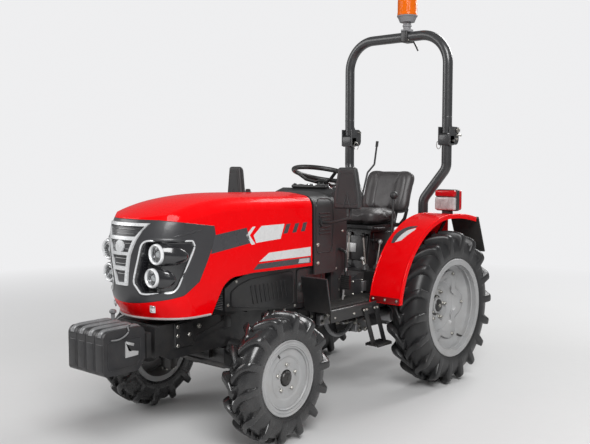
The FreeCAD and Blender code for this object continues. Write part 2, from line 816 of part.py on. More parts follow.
def steering_wheel():
    """Rim, three dished spokes and hub, turned to the column's tilt."""
    grip = Part.makeTorus(steering_radius - steering_grip, steering_grip)
    hub = Part.makeCylinder(34, 30, Vector(0, 0, -steering_dish - 10))
    cap = Part.makeCone(44, 30, 16, Vector(0, 0, -steering_dish + 20))
    pieces = [grip, hub, cap]
    for angle in (90, 210, 330):
        way = Vector(math.cos(math.radians(angle)), math.sin(math.radians(angle)), 0)
        a = way * 26 + Vector(0, 0, -steering_dish + 18)
        b = way * 100 + Vector(0, 0, -steering_dish + 28)
        c = way * (steering_radius - steering_grip)
        pieces.append(Part.makeCylinder(9, (b - a).Length, a, b - a))
        pieces.append(Part.makeSphere(9, b))
        pieces.append(Part.makeCylinder(9, (c - b).Length, b, c - b))
    wheel = join(*pieces)
    wheel.Placement = Placement(steering_centre,
                                Rotation(Vector(0, 0, 1), steering_axis))
    return wheel


save("dash_console", dash_console())
save("steering_column", steering_column())
save("steering_wheel", steering_wheel())


# ---- platform and steps ----
def platform():
    """The left foot plate with its toe board, edge lip, step and outrigger brackets."""
    y0 = ahead(floor_front)
    y1 = ahead(floor_outer_rear)
    sheet = box(floor_inner_x, fender_inner_x - seat_gap, y0, ahead(floor_rear), floor_z,
                floor_z + plate)
    wing = box(fender_inner_x - 10, floor_outer_x, y0, y1, floor_z, floor_z + plate)
    toe = side_plate([(y0, floor_z), (y0 - 32, floor_z + toe_rise),
                      (y0 - 32 + plate, floor_z + toe_rise), (y0 + plate, floor_z)],
                     hood_half_width, floor_outer_x)
    lip = join(box(floor_outer_x - plate, floor_outer_x, y0, y1, floor_z - 45, floor_z),
               box(floor_outer_x - plate, floor_outer_x, y0, ahead(fender_radius + 6),
                   floor_z - 1, floor_z + 14))
    arm = box(case_half_width, fender_inner_x - 5, ahead(400), ahead(360), floor_z - 40,
              floor_z)
    arm_front = box(engine_half_width, floor_outer_x - plate, ahead(760), ahead(720),
                    floor_z - 40, floor_z)
    low = floor_z - step_drop
    legs = []
    for foot in (step_front, step_rear + 30):
        legs.append(side_plate([(ahead(foot), low), (ahead(foot - 30), low),
                                (ahead(foot - 30 + step_lean), floor_z - 6),
                                (ahead(foot + step_lean), floor_z - 6)],
                               floor_outer_x, floor_outer_x + 8))
    tread = box(floor_outer_x - 40, floor_outer_x + 40, ahead(step_front), ahead(step_rear),
                low, low + 8)
    return join(sheet, wing, toe, lip, arm, arm_front, tread, *legs)


def seat_deck():
    """The sheet cover that closes the gear case in between the fender skirts."""
    x = fender_inner_x - seat_gap
    y0 = ahead(floor_rear)
    top = box(-x, x, y0, behind(58), deck_z, deck_z + plate)
    riser = box(-x, x, y0, y0 + plate, floor_z + plate + seat_gap, deck_z)
    hole = box(-105 - seat_gap, 105 + seat_gap, ahead(120) - seat_gap, behind(60), deck_z - 1,
               deck_z + plate + 1)
    return join(top, riser).cut(hole).cut(transmission())


save("platforms", platform(), mirrored(platform()))
save("seat_deck", seat_deck())


# ---- fenders, flaps and lamps ----
def fender_curve(offset):
    """The fender's side outline as arcs, offset inward by offset."""
    r = fender_radius - offset
    y = rear_axle_y
    z = rear_axle_z
    low = math.pi - math.asin((floor_z + plate + seat_gap - z) / r)
    mid = math.radians(132)
    crest = math.radians(94)
    point = [(y + r * math.cos(a), z + r * math.sin(a)) for a in (low, mid, crest)]
    end = (behind(fender_rear), fender_rear_z - offset)
    via = (behind(fender_rear / 2 - 8), (point[2][1] + end[1]) / 2 + 10)
    return point, via, end


def fender():
    """The left fender: curved top, outer lip and the inner skirt."""
    top, via, end = fender_curve(0)
    low, low_via, low_end = fender_curve(plate)
    sheet = side_plate([top[0], (top[1], top[2]), (via, end), low_end, (low_via, low[2]),
                        (low[1], low[0])], fender_inner_x, fender_outer_x)
    deep, deep_via, deep_end = fender_curve(24)
    lip = side_plate([top[0], (top[1], top[2]), (via, end), deep_end, (deep_via, deep[2]),
                      (deep[1], deep[0])], fender_outer_x - plate, fender_outer_x)
    skirt = side_plate([top[0], (top[1], top[2]), (via, end),
                        (behind(fender_rear), 800), (behind(190), 590),
                        (ahead(floor_rear), top[0][1])], fender_inner_x, fender_inner_x + plate)
    return join(sheet, lip, skirt)


def mud_flap():
    """The rubber flap that hangs behind the left rear wheel."""
    y = behind(fender_rear)
    return side_plate([(y + seat_gap, fender_rear_z), (y + 30, fender_rear_z + 3),
                       (y + 118, fender_rear_z + 3 - flap_drop),
                       (y + 112, fender_rear_z - 3 - flap_drop),
                       (y + 24, fender_rear_z - 8), (y + seat_gap, fender_rear_z - 12)],
                      fender_inner_x + 10, fender_outer_x)


def tail_lamp():
    """The left rear lamp on its foot."""
    x0 = 388.0
    base = rear_axle_z + fender_radius
    body = box(x0, x0 + 140, behind(60), behind(132), base + 14, base + 14 + lamp_height)
    foot = box(x0 + 44, x0 + 96, behind(72), behind(118), base - 12, base + 14)
    top, via, end = fender_curve(-seat_gap)
    below = side_plate([top[0], (top[1], top[2]), (via, end), (end[0], 600), (top[0][0], 600)],
                       fender_inner_x, fender_outer_x)
    return join(body, foot.cut(below))


save("fenders", fender(), mirrored(fender()))
save("mud_flaps", mud_flap(), mirrored(mud_flap()))
save("tail_lamps", tail_lamp(), mirrored(tail_lamp()))


# ---- seat ----
def lean(shape):
    """A piece drawn upright at the back rest's foot, leaned back and put in place."""
    shape.Placement = Placement(Vector(0, behind(cushion_rear + 20), seat_bottom + 62),
                                Rotation(Vector(1, 0, 0), -back_lean))
    return shape


def seat_base():
    """The seat's stand on the lift housing, its pan and the back rest's upright."""
    low = seat_bottom - 18
    pan = box(-seat_width / 2 + 16, seat_width / 2 - 16, ahead(cushion_front - 22),
              behind(cushion_rear + 6), low, seat_bottom - seat_gap)
    tail = box(-70, 70, behind(cushion_rear), behind(cushion_rear + 90), low,
               seat_bottom - seat_gap)
    front = ahead(120) - seat_gap
    stand = side_plate([(ahead(210), deck_z + plate), (ahead(170), low), (behind(70), low),
                        (behind(70), rock_z + 48), (front, rock_z + 48),
                        (front, deck_z + plate)], -98, 98)
    upright = lean(box(-70, 70, back_thickness + seat_gap, back_thickness + 12, -66, 150))
    return join(pan, tail, stand, upright)


def seat_cushion():
    """The cushion as a plain block with rounded corners."""
    block = box(-seat_width / 2, seat_width / 2, ahead(cushion_front), behind(cushion_rear),
                seat_bottom, seat_bottom + cushion_height)
    return block.makeFillet(26, block.Edges)


def seat_back():
    """The leaning back rest as a plain block with rounded corners."""
    block = box(-seat_width / 2 + 4, seat_width / 2 - 4, 0, back_thickness, 0, back_height)
    return lean(block.makeFillet(30, block.Edges))


save("seat_base", seat_base())
save("seat_cushion", seat_cushion())
save("seat_back", seat_back())


# ---- roll bar ----
def rops_post():
    """The left lower post: shoe on the axle, bent tube, hinge cheeks and pivot pin."""
    y = behind(post_y)
    low_y = behind(post_foot_y)
    tube = bent_bar([(post_foot_x, low_y - 110, post_pad_z + 12), (post_foot_x, low_y, 700),
                     (post_foot_x, low_y, post_bend_low), (post_x, y, post_bend_high),
                     (post_x, y, post_top)], post_radius, 90)
    shoe = box(post_foot_x - 40, post_foot_x + 40, rear_axle_y - 55, low_y - 70, post_pad_z,
               post_pad_z + 16)
    half = post_radius + cheek_gap + cheek
    block = box(post_x - half, post_x + half, y - post_radius - 4, y + fold_y - 12,
                post_top - 62, post_top - 6)
    pieces = [tube, shoe, block]
    front = y - post_radius - 4
    back = y + fold_y + 20
    low = post_top - 62
    high = fold_z + 20
    for side in (-1, 1):
        outer = post_x + side * half
        inner = outer - side * cheek
        pieces.append(side_plate([(front, low), (front, high), (back - 26, high),
                                  ((back - 6, high - 12), (back, high - 34)), (back, low + 40),
                                  ((back - 8, low + 12), (back - 32, low))],
                                 min(inner, outer), max(inner, outer)))
    pieces.append(side_plate([(y + post_radius - 8, low + 4), (back - 36, low + 4),
                              (back - 36, low - 20), (y + post_radius - 8, low - 60)],
                             post_x - 9, post_x + 9))
    pieces.append(rod((post_x - half - 6, y + fold_y, fold_z),
                      (post_x + half + 6, y + fold_y, fold_z), fold_pin_radius))
    return join(*pieces).cut(box(0, 600, rear_axle_y - 300, low_y + 100, 0, post_pad_z))


def rops_hoop():
    """The folding upper hoop with a hinge lug on each leg."""
    y = behind(post_y)
    start = post_top + fold_gap
    tube = bent_bar([(-post_x, y, start), (-post_x, y, hoop_top), (post_x, y, hoop_top),
                     (post_x, y, start)], post_radius, hoop_bend)
    body = tube
    for side in (-1, 1):
        x = side * post_x
        lug = box(x - 24, x + 24, y, y + fold_y + 14, start + 2, fold_z + 16)
        bore = rod((x - 40, y + fold_y, fold_z), (x + 40, y + fold_y, fold_z),
                   fold_pin_radius + seat_gap)
        rib = side_plate([(y + post_radius - 8, fold_z + 10), (y + fold_y + 6, fold_z + 10),
                          (y + fold_y - 6, fold_z + 32), (y + post_radius - 8, fold_z + 66)],
                         x - 9, x + 9)
        body = body.fuse(lug).fuse(rib).cut(bore)
    return body.removeSplitter()


def beacon_base():
    """The clamp, stem and collar that carry the beacon on the hoop."""
    y = behind(post_y)
    z = hoop_top + post_radius
    clamp = box(beacon_x - 28, beacon_x + 28, y - 26, y + 26, z + seat_gap, z + 16)
    stem = rod((beacon_x, y, z + 14), (beacon_x, y, z + beacon_stem + 2), 24)
    collar = cone((beacon_x, y, z + beacon_stem),
                  (beacon_x, y, z + beacon_stem + beacon_collar), 46, beacon_radius)
    return join(clamp, stem, collar)


def beacon_lens():
    """The amber dome of the beacon."""
    y = behind(post_y)
    z = hoop_top + post_radius + beacon_stem + beacon_collar + seat_gap
    wall = rod((beacon_x, y, z), (beacon_x, y, z + beacon_height - 24), beacon_radius)
    dome = cone((beacon_x, y, z + beacon_height - 24), (beacon_x, y, z + beacon_height),
                beacon_radius, beacon_radius - 22)
    return join(wall, dome)


save("rops_posts", rops_post(), mirrored(rops_post()))
save("rops_hoop", rops_hoop())
save("beacon_base", beacon_base())
save("beacon_lens", beacon_lens())


# ---- mirrors, pedals and levers ----
def mirror():
    """The left mirror head on its bent stalk from the console's side."""
    y = ahead(800)
    head = front_plate([(-50, 105), (50, 105), (72, -40), (74, -105), (-74, -105), (-72, -40)],
                       -17, 17)
    head = head.makeFillet(14, head.Edges)
    head.Placement = Placement(Vector(400, y, 1143), Rotation(Vector(0, 0, 1), 13))
    root_x = hood_half_width - 6
    stalk = bent_bar([(root_x, y + 10, 960), (root_x + 60, y + 10, 960),
                      (400, y + 22, 990), (400, y + 22, 1080)], 8, 24)
    boss = rod((root_x - 4 + seat_gap, y + 10, 960), (root_x + 8, y + 10, 960), 20)
    body = join(head, stalk, boss)
    return body.cut(dash_console())


def pedal(x, reach):
    """One hanging pedal whose arm turns in to the side of the console at a height."""
    pad_y = ahead(610)
    pad = box(x - 28, x + 28, pad_y - 6, pad_y + 8, 588, 664)
    wall = math.copysign(dash_half_width + seat_gap, x)
    arm = bent_bar([(x, pad_y + 1, 630), (x, pad_y + 1, reach - 24),
                    (wall * 0.9, pad_y + 1, reach)], 8, 14)
    return join(pad, arm).cut(box(-abs(wall), abs(wall), pad_y - 50, pad_y + 50, 600, 900))


def gear_lever():
    """The gear lever with its boot and round knob, beside the seat on the deck."""
    foot = Vector(214, ahead(150), deck_z + plate)
    top = Vector(200, ahead(84), 1066)
    boot = Part.makeCone(34, 16, 46, foot)
    knob = Part.makeSphere(24, top + Vector(0, 0, 12))
    start = foot + Vector(0, 0, 6)
    return join(boot, rod(tuple(start), tuple(top), 7), knob)


def hand_lever():
    """The tall lever beside the seat on the right, leaning back past the back rest."""
    foot = (-218, ahead(40), deck_z + plate)
    boot = Part.makeCylinder(16, 30, Vector(*foot))
    lever = bent_bar([(foot[0], foot[1], foot[2] + 6), (-205, behind(95), 900),
                      (-196, behind(200), 1205), (-164, behind(230), 1258),
                      (-145, behind(234), 1405)], 6, 20)
    grip = rod((-149, behind(233), 1372), (-144.5, behind(234), 1408), 9)
    return join(boot, lever, grip)


save("mirrors", mirror(), mirrored(mirror()))
save("pedals", pedal(246, 812), pedal(-238, 790), pedal(-302, 850))
save("control_levers", gear_lever(), hand_lever())


# ---- hitch, drawbar and power take-off ----
def link_line():
    """The lower link's pivot, rod eye and end, left side."""
    pivot = Vector(link_pivot_x, behind(link_pivot_y), link_pivot_z)
    end = Vector(link_end_x, behind(rear_reach - link_eye_radius), link_end_z)
    share = link_rod_reach / (end - pivot).Length
    return pivot, pivot + (end - pivot) * share, end


def lower_link():
    """The left lower link with its ball eyes."""
    pivot, middle, end = link_line()
    half = link_thickness / 2
    along = (end - pivot).normalize() * (link_bar_radius + 3)
    bar = rod(tuple(pivot + along), tuple(end - along), link_bar_radius)
    root = rod((pivot.x - half, pivot.y, pivot.z), (pivot.x + half, pivot.y, pivot.z), 24)
    eye = rod((end.x - half, end.y, end.z), (end.x + half, end.y, end.z), link_eye_radius)
    lug = rod((middle.x - 18, middle.y, middle.z), (middle.x + 14, middle.y, middle.z), 20)
    pin = rod((middle.x, middle.y, middle.z), (middle.x + 58, middle.y, middle.z), 9)
    body = join(bar, root, eye, lug, pin)
    body = body.cut(rod((pivot.x - 40, pivot.y, pivot.z), (pivot.x + 40, pivot.y, pivot.z),
                        11 + seat_gap))
    return body.cut(rod((end.x - 40, end.y, end.z), (end.x + 40, end.y, end.z),
                        link_bore_radius))


def lift_points():
    """Where the lift rod meets its arm and its link, left side."""
    pivot, middle = link_line()[:2]
    arm_end = Vector(arm_x, behind(rock_y) + middle.y - pivot.y, rock_z + middle.z - pivot.z)
    return arm_end, middle


def lift_arms():
    """The rockshaft and its two lift arms."""
    y = behind(rock_y)
    arm_end = lift_points()[0]
    shaft_bar = rod((-arm_x - 26, y, rock_z), (arm_x + 26, y, rock_z), 22)
    pieces = [shaft_bar]
    for side in (-1, 1):
        x = side * arm_x
        pieces.append(rod((x - 13, y, rock_z), (x + 13, y, rock_z), 38))
        pieces.append(rod((x - 13, arm_end.y, arm_end.z), (x + 13, arm_end.y, arm_end.z), 20))
        pieces.append(side_plate([(y, rock_z - 30), (y, rock_z + 30),
                                  (arm_end.y, arm_end.z + 18), (arm_end.y, arm_end.z - 18)],
                                 x - 11, x + 11))
        outer = x + side * 40
        pieces.append(rod((x, arm_end.y, arm_end.z), (outer, arm_end.y, arm_end.z), 9))
    return join(*pieces)


def lift_rod():
    """The left lift rod, from the arm's pin to beside the lower link."""
    arm_end, middle = lift_points()
    top_x = arm_end.x + 27
    low_x = middle.x + 40
    bar = rod((top_x, arm_end.y, arm_end.z), (low_x, middle.y, middle.z), rod_radius)
    top = rod((top_x - 11, arm_end.y, arm_end.z), (top_x + 11, arm_end.y, arm_end.z), 20)
    low = rod((low_x - 11, middle.y, middle.z), (low_x + 11, middle.y, middle.z), 20)
    body = join(bar, top, low)
    body = body.cut(rod((top_x - 30, arm_end.y, arm_end.z),
                        (top_x + 30, arm_end.y, arm_end.z), 9 + seat_gap))
    return body.cut(rod((low_x - 30, middle.y, middle.z), (low_x + 30, middle.y, middle.z),
                        9 + seat_gap))


def hitch_bracket():
    """The top link bracket on the back of the gear case, with its pin."""
    y = behind(case_rear)
    cheeks = []
    for side in (-1, 1):
        x = side * 34
        cheeks.append(box(x - 6, x + 6, y, y + 66, top_link_z - 32, top_link_z + 32))
    back = box(-40, 40, y, y + 12, pto_z + pto_shank_radius + 8, top_link_z + 32)
    pin = rod((-48, behind(top_link_y), top_link_z), (48, behind(top_link_y), top_link_z),
              top_link_bore_radius - seat_gap)
    return join(back, pin, *cheeks)


def top_link():
    """The top link: two eyes, two screwed ends and the turnbuckle between them."""
    y0 = behind(top_link_y)
    y1 = y0 + top_link_length
    z = top_link_z
    body = join(rod((0, y0, z), (0, y1, z), 11),
                rod((0, y0 + 90, z), (0, y1 - 90, z), 17),
                rod((-22, y0, z), (22, y0, z), 24),
                rod((-22, y1, z), (22, y1, z), 24))
    for y in (y0, y1):
        body = body.cut(rod((-40, y, z), (40, y, z), top_link_bore_radius))
    return body


def drawbar():
    """The drawbar under the gear case, with its pin hole."""
    bar = box(-32, 32, ahead(60), behind(drawbar_end), drawbar_z - 14,
              drawbar_z + 14)
    hanger = box(-46, 46, behind(case_rear) - 90, behind(case_rear) - 50, drawbar_z - 24,
                 case_bottom)
    body = join(bar, hanger)
    return body.cut(rod((0, behind(drawbar_end) - 32, drawbar_z - 30),
                        (0, behind(drawbar_end) - 32, drawbar_z + 30), drawbar_hole_radius))


def pto_shaft():
    """The power take-off stub at the back of the gear case."""
    y = behind(case_rear)
    shank = rod((0, y - 58, pto_z), (0, y + pto_shoulder, pto_z), pto_shank_radius)
    stub = rod((0, y, pto_z), (0, y + pto_length, pto_z), pto_radius)
    return shank.fuse(stub)


save_pair("lower_link", lower_link())
save("lift_arms", lift_arms())
save_pair("lift_rod", lift_rod())
save("hitch_bracket", hitch_bracket())
save("top_link", top_link())
save("drawbar", drawbar())
save("pto_shaft", pto_shaft())
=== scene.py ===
import bpy
import bmesh
import math
import numpy as np
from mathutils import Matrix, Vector


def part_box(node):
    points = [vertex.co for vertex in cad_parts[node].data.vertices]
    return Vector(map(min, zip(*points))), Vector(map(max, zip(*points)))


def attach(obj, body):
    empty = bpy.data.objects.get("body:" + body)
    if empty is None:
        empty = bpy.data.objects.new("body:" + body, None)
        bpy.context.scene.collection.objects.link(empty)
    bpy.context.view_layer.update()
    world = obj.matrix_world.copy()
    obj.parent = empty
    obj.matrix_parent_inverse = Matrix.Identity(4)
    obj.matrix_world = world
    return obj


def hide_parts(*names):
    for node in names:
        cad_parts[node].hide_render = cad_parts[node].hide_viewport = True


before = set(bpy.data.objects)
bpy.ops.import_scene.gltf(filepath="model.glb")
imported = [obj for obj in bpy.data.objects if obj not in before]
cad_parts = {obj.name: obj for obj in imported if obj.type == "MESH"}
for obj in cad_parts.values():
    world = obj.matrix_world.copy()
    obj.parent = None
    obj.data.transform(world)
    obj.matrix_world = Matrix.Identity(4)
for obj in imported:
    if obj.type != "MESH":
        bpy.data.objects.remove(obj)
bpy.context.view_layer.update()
print("frame loaded")


def cornersOf(node):
    low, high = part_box(node)
    return np.array(low), np.array(high)


def middleOf(node):
    low, high = cornersOf(node)
    return (low + high) / 2


rearAxle = middleOf("rear_tyre_left")
frontAxle = middleOf("front_tyre_left")
rearY, frontY = rearAxle[1], frontAxle[1]
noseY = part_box("grille_mask")[0][1]
bothHands = (("left", 1), ("right", -1))


# shape helpers: every one works on whole arrays
def gridFaces(rows, cols, wrapRows=False, wrapCols=False):
    i = np.arange(rows if wrapRows else rows - 1)[:, None]
    j = np.arange(cols if wrapCols else cols - 1)[None, :]
    near, far = i * cols, ((i + 1) % rows) * cols
    left, right = j, (j + 1) % cols
    return np.stack([near + left, far + left, far + right, near + right], -1).reshape(-1, 4)


def meshFrom(name, points, quads):
    points = np.asarray(points, np.float32).reshape(-1, 3)
    quads = np.asarray(quads, np.int32).reshape(-1, 4)
    mesh = bpy.data.meshes.new(name)
    mesh.vertices.add(len(points))
    mesh.vertices.foreach_set("co", points.ravel())
    mesh.loops.add(quads.size)
    mesh.loops.foreach_set("vertex_index", quads.ravel())
    mesh.polygons.add(len(quads))
    mesh.polygons.foreach_set("loop_start", np.arange(len(quads), dtype=np.int32) * 4)
    mesh.update(calc_edges=True)
    return mesh


def weld(mesh, gap=2e-6):
    # doubles at seams and poles merge, then all faces turn outward
    work = bmesh.new()
    work.from_mesh(mesh)
    bmesh.ops.remove_doubles(work, verts=work.verts, dist=gap)
    bmesh.ops.dissolve_degenerate(work, edges=work.edges, dist=gap / 4)
    bmesh.ops.recalc_face_normals(work, faces=work.faces)
    work.to_mesh(mesh)
    work.free()


def addPiece(name, shapes, look, body="chassis", crease=34, welded=True):
    # shapes is one (points, quads) pair or a list of them, joined in one mesh
    if isinstance(shapes, tuple):
        shapes = [shapes]
    counts = np.cumsum([0] + [np.asarray(p).size // 3 for p, q in shapes])
    points = np.concatenate([np.asarray(p).reshape(-1, 3) for p, q in shapes])
    quads = np.concatenate([np.asarray(q).reshape(-1, 4) + start for (p, q), start in
        zip(shapes, counts)])
    mesh = meshFrom(name, points, quads)
    if welded:
        weld(mesh)
    mesh.polygons.foreach_set("use_smooth", np.ones(len(mesh.polygons), bool))
    mesh.set_sharp_from_angle(angle=math.radians(crease))
    mesh.materials.append(looks[look])
    piece = bpy.data.objects.new(name, mesh)
    bpy.context.collection.objects.link(piece)
    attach(piece, body)
    return piece


def unit(rows):
    rows = np.asarray(rows, float)
    return rows / np.maximum(np.linalg.norm(rows, axis=-1, keepdims=True), 1e-12)


def roundAngles(count):
    return np.linspace(0, 2 * np.pi, count, endpoint=False)


def sidesOf(directions, reference=(0.0, 0.0, 1.0)):
    # two unit vectors square to each direction, the first also square to the reference
    d = unit(directions)
    ref = np.broadcast_to(np.asarray(reference, float), d.shape)
    spare = np.broadcast_to(np.array([0.31, 0.95, 0.05]), d.shape)
    ref = np.where(np.abs((d * ref).sum(-1, keepdims=True)) > 0.985, spare, ref)
    side = unit(np.cross(ref, d))
    return side, np.cross(d, side)


def smoothPath(points, count):
    # a cubic through the points, its slope at each one half the step between neighbours
    p = np.asarray(points, float)
    t = np.linspace(0, len(p) - 1, count)
    k = np.minimum(t.astype(int), len(p) - 2)
    u = (t - k)[:, None]
    slope = np.gradient(p, axis=0)
    a, b, ma, mb = p[k], p[k + 1], slope[k], slope[k + 1]
    return ((2 * u**3 - 3 * u**2 + 1) * a + (u**3 - 2 * u**2 + u) * ma + (3 * u**2 - 2 * u**3) * b +
        (u**3 - u**2) * mb)


def tube(path, radius, sides=12):
    # a circle of the radius carried along the path, closed to a point at both ends
    path = np.asarray(path, float)
    radius = np.broadcast_to(np.asarray(radius, float), len(path))
    side, up = sidesOf(np.gradient(path, axis=0))
    turn = roundAngles(sides)
    ring = (np.cos(turn)[None, :, None] * side[:, None] + np.sin(turn)[None, :, None] * up[:, None])
    rings = path[:, None] + ring * radius[:, None, None]
    ends = np.broadcast_to(path[[0, -1]][:, None], (2, sides, 3))
    points = np.concatenate([ends[:1], rings, ends[1:]])
    return points, gridFaces(len(path) + 2, sides, wrapCols=True)


def turned(profile, centre, axis=(1.0, 0.0, 0.0), sides=48, ring=False):
    # rows of (radius, distance along) turned about the axis; ring joins last row to first
    profile = np.asarray(profile, float)
    axis = unit([axis])[0]
    side, up = sidesOf(axis[None])
    turn = roundAngles(sides)
    spoke = np.cos(turn)[:, None] * side + np.sin(turn)[:, None] * up
    points = (np.asarray(centre, float) + profile[:, 0, None, None] * spoke[None] +
        profile[:, 1, None, None] * axis)
    return points, gridFaces(len(profile), len(turn), wrapRows=ring, wrapCols=True)


def roundBox(centre, size, radius, steps=3, turnBy=None):
    # a block with rounded edges: each corner an eighth of a ball moved out to its place
    half = np.asarray(size, float) / 2
    radius = min(radius, half.min() * 0.98)
    quarter = np.linspace(0, np.pi / 2, steps + 1)
    turn = np.concatenate([quarter + q * np.pi / 2 for q in range(4)])
    signX = np.repeat([1.0, -1.0, -1.0, 1.0], steps + 1)
    signY = np.repeat([1.0, 1.0, -1.0, -1.0], steps + 1)
    rise = np.concatenate([-quarter[::-1], quarter])
    signZ = np.repeat([-1.0, 1.0], steps + 1)
    x = (signX * (half[0] - radius))[None] + radius * np.cos(rise)[:, None] * np.cos(turn)
    y = (signY * (half[1] - radius))[None] + radius * np.cos(rise)[:, None] * np.sin(turn)
    z = (signZ * (half[2] - radius) + radius * np.sin(rise))[:, None] + 0 * x
    points = np.stack([x, y, z], -1)
    low = np.zeros_like(points[:1]) + [0, 0, -half[2]]
    high = np.zeros_like(points[:1]) + [0, 0, half[2]]
    points = np.concatenate([low, points, high])
    if turnBy is not None:
        points = points @ np.asarray(turnBy).T
    return points + np.asarray(centre, float), gridFaces(len(points), len(turn), wrapCols=True)


def turnedBy(axis, degrees):
    # the turn about an axis by an angle, as a matrix
    x, y, z = unit([axis])[0]
    k = np.array([[0, -z, y], [z, 0, -x], [-y, x, 0]])
    a = math.radians(degrees)
    return np.eye(3) + math.sin(a) * k + (1 - math.cos(a)) * (k @ k)


def prism(outline, low, high, axis=0):
    # a flat outline pushed along x, y or z, its two ends filled from the middle
    flat = np.asarray(outline, float)
    body = np.stack([np.insert(flat, axis, step, axis=1) for step in (low, high)])
    middle = flat.mean(0)
    ends = [np.insert(np.tile(middle, (len(flat), 1)), axis, step, axis=1)[None] for step in (low, high)]
    points = np.concatenate([ends[0], body, ends[1]])
    return points, gridFaces(len(points), len(flat), wrapCols=True)


def mirrorX(shape):
    points, quads = shape
    return np.asarray(points) * [-1, 1, 1], quads[:, ::-1]


def boltHeads(places, normals, radius, height, sides=6):
    # one low head with a chamfered top, copied to every place and turned to its normal
    places = np.asarray(places, float)
    normals = np.broadcast_to(unit(normals), places.shape)
    side, up = sidesOf(normals)
    turn = roundAngles(sides)
    rings = np.array([[1.35, -0.1], [1.35, 0.12], [1.0, 0.14], [1.0, 0.82], [0.8, 1.0], [0, 1.0]])
    r, h = rings[:, 0] * radius, rings[:, 1] * height
    ring = (np.cos(turn)[:, None, None] * side + np.sin(turn)[:, None, None] * up)
    points = (places[:, None, None] + r[None, :, None, None] * ring.transpose(1, 0, 2)[:, None] +
        h[None, :, None, None] * normals[:, None, None])
    one = gridFaces(len(rings), sides, wrapCols=True)
    starts = np.arange(len(places))[:, None, None] * (len(rings) * sides)
    return points, (one[None] + starts).reshape(-1, 4)


def trianglesOf(*nodes):
    corners = []
    for name in nodes:
        mesh = bpy.data.objects[name].data
        mesh.calc_loop_triangles()
        where = np.empty(len(mesh.vertices) * 3)
        mesh.vertices.foreach_get("co", where)
        index = np.empty(len(mesh.loop_triangles) * 3, int)
        mesh.loop_triangles.foreach_get("vertices", index)
        corners.append(where.reshape(-1, 3)[index].reshape(-1, 3, 3))
    return np.concatenate(corners)


def castOnto(triangles, starts, directions):
    # where straight lines first meet the triangles: a line is inside one when it passes
    # all three edges on the same hand, told by products of the line's moment and the edges
    starts = np.asarray(starts, float).reshape(-1, 3)
    directions = np.broadcast_to(unit(directions), starts.shape)
    moments = np.cross(directions, starts)
    corners = [triangles[:, k] for k in range(3)]
    flat = np.cross(corners[1] - corners[0], corners[2] - corners[0])
    level = (flat * corners[0]).sum(1)
    best = np.full(len(starts), np.inf)
    for first in range(0, len(starts), 500):
        part = slice(first, first + 500)
        s, d, m = starts[part], directions[part], moments[part]
        least, most = np.inf, -np.inf
        for a, b in ((0, 1), (1, 2), (2, 0)):
            hand = d @ np.cross(corners[a], corners[b]).T + m @ (corners[a] - corners[b]).T
            least, most = np.minimum(least, hand), np.maximum(most, hand)
        fall = d @ flat.T
        far = (level - s @ flat.T) / np.where(np.abs(fall) < 1e-15, np.nan, fall)
        hit = ((least > -1e-10) | (most < 1e-10)) & (far > 0)
        best[part] = np.where(hit, far, np.inf).min(1)
    met = np.isfinite(best)
    return starts + directions * np.where(met, best, 0)[:, None], met


def ease(low, high, value):
    # nought below low, one above high, a smooth rise between
    t = np.clip((value - low) / (high - low), 0, 1)
    return t * t * (3 - 2 * t)


# material helpers
def startMaterial(name):
    mat = bpy.data.materials.new(name)
    mat.use_nodes = True
    tree = mat.node_tree
    shader = tree.nodes["Principled BSDF"]
    where = tree.nodes.new("ShaderNodeTexCoord").outputs["Object"]
    return mat, tree, shader, where


def feed(tree, socket, item):
    # a socket takes another node's output, a number, a vector or a colour
    if isinstance(item, bpy.types.NodeSocket):
        tree.links.new(item, socket)
    else:
        socket.default_value = (*item, 1.0) if socket.type == "RGBA" else item


def newNode(tree, kind, inputs, output=0, **settings):
    node = tree.nodes.new("ShaderNode" + kind)
    for setting, value in settings.items():
        setattr(node, setting, value)
    for socket, item in inputs.items():
        feed(tree, node.inputs[socket], item)
    return node.outputs[output]


def noise(tree, where, scale, detail=4.0, rough=0.55, stretch=None):
    if stretch is not None:
        where = newNode(tree, "Mapping", {"Vector": where, "Scale": stretch})
    return newNode(tree, "TexNoise", {"Vector": where, "Scale": scale, "Detail": detail, "Roughness":
        rough}, "Fac")


def spread(tree, value, low, high, toLow=0.0, toHigh=1.0):
    return newNode(tree, "MapRange", {"Value": value, "From Min": low, "From Max": high, "To Min": toLow,
        "To Max": toHigh}, "Result")


def multiply(tree, a, b):
    return newNode(tree, "Math", {0: a, 1: b}, operation="MULTIPLY")


def mixColour(tree, factor, a, b):
    return newNode(tree, "Mix", {0: factor, 6: a, 7: b}, 2, data_type="RGBA")


def bump(tree, height, strength, distance, below=None):
    inputs = {"Strength": strength, "Distance": distance, "Height": height}
    if below is not None:
        inputs["Normal"] = below
    return newNode(tree, "Bump", inputs)


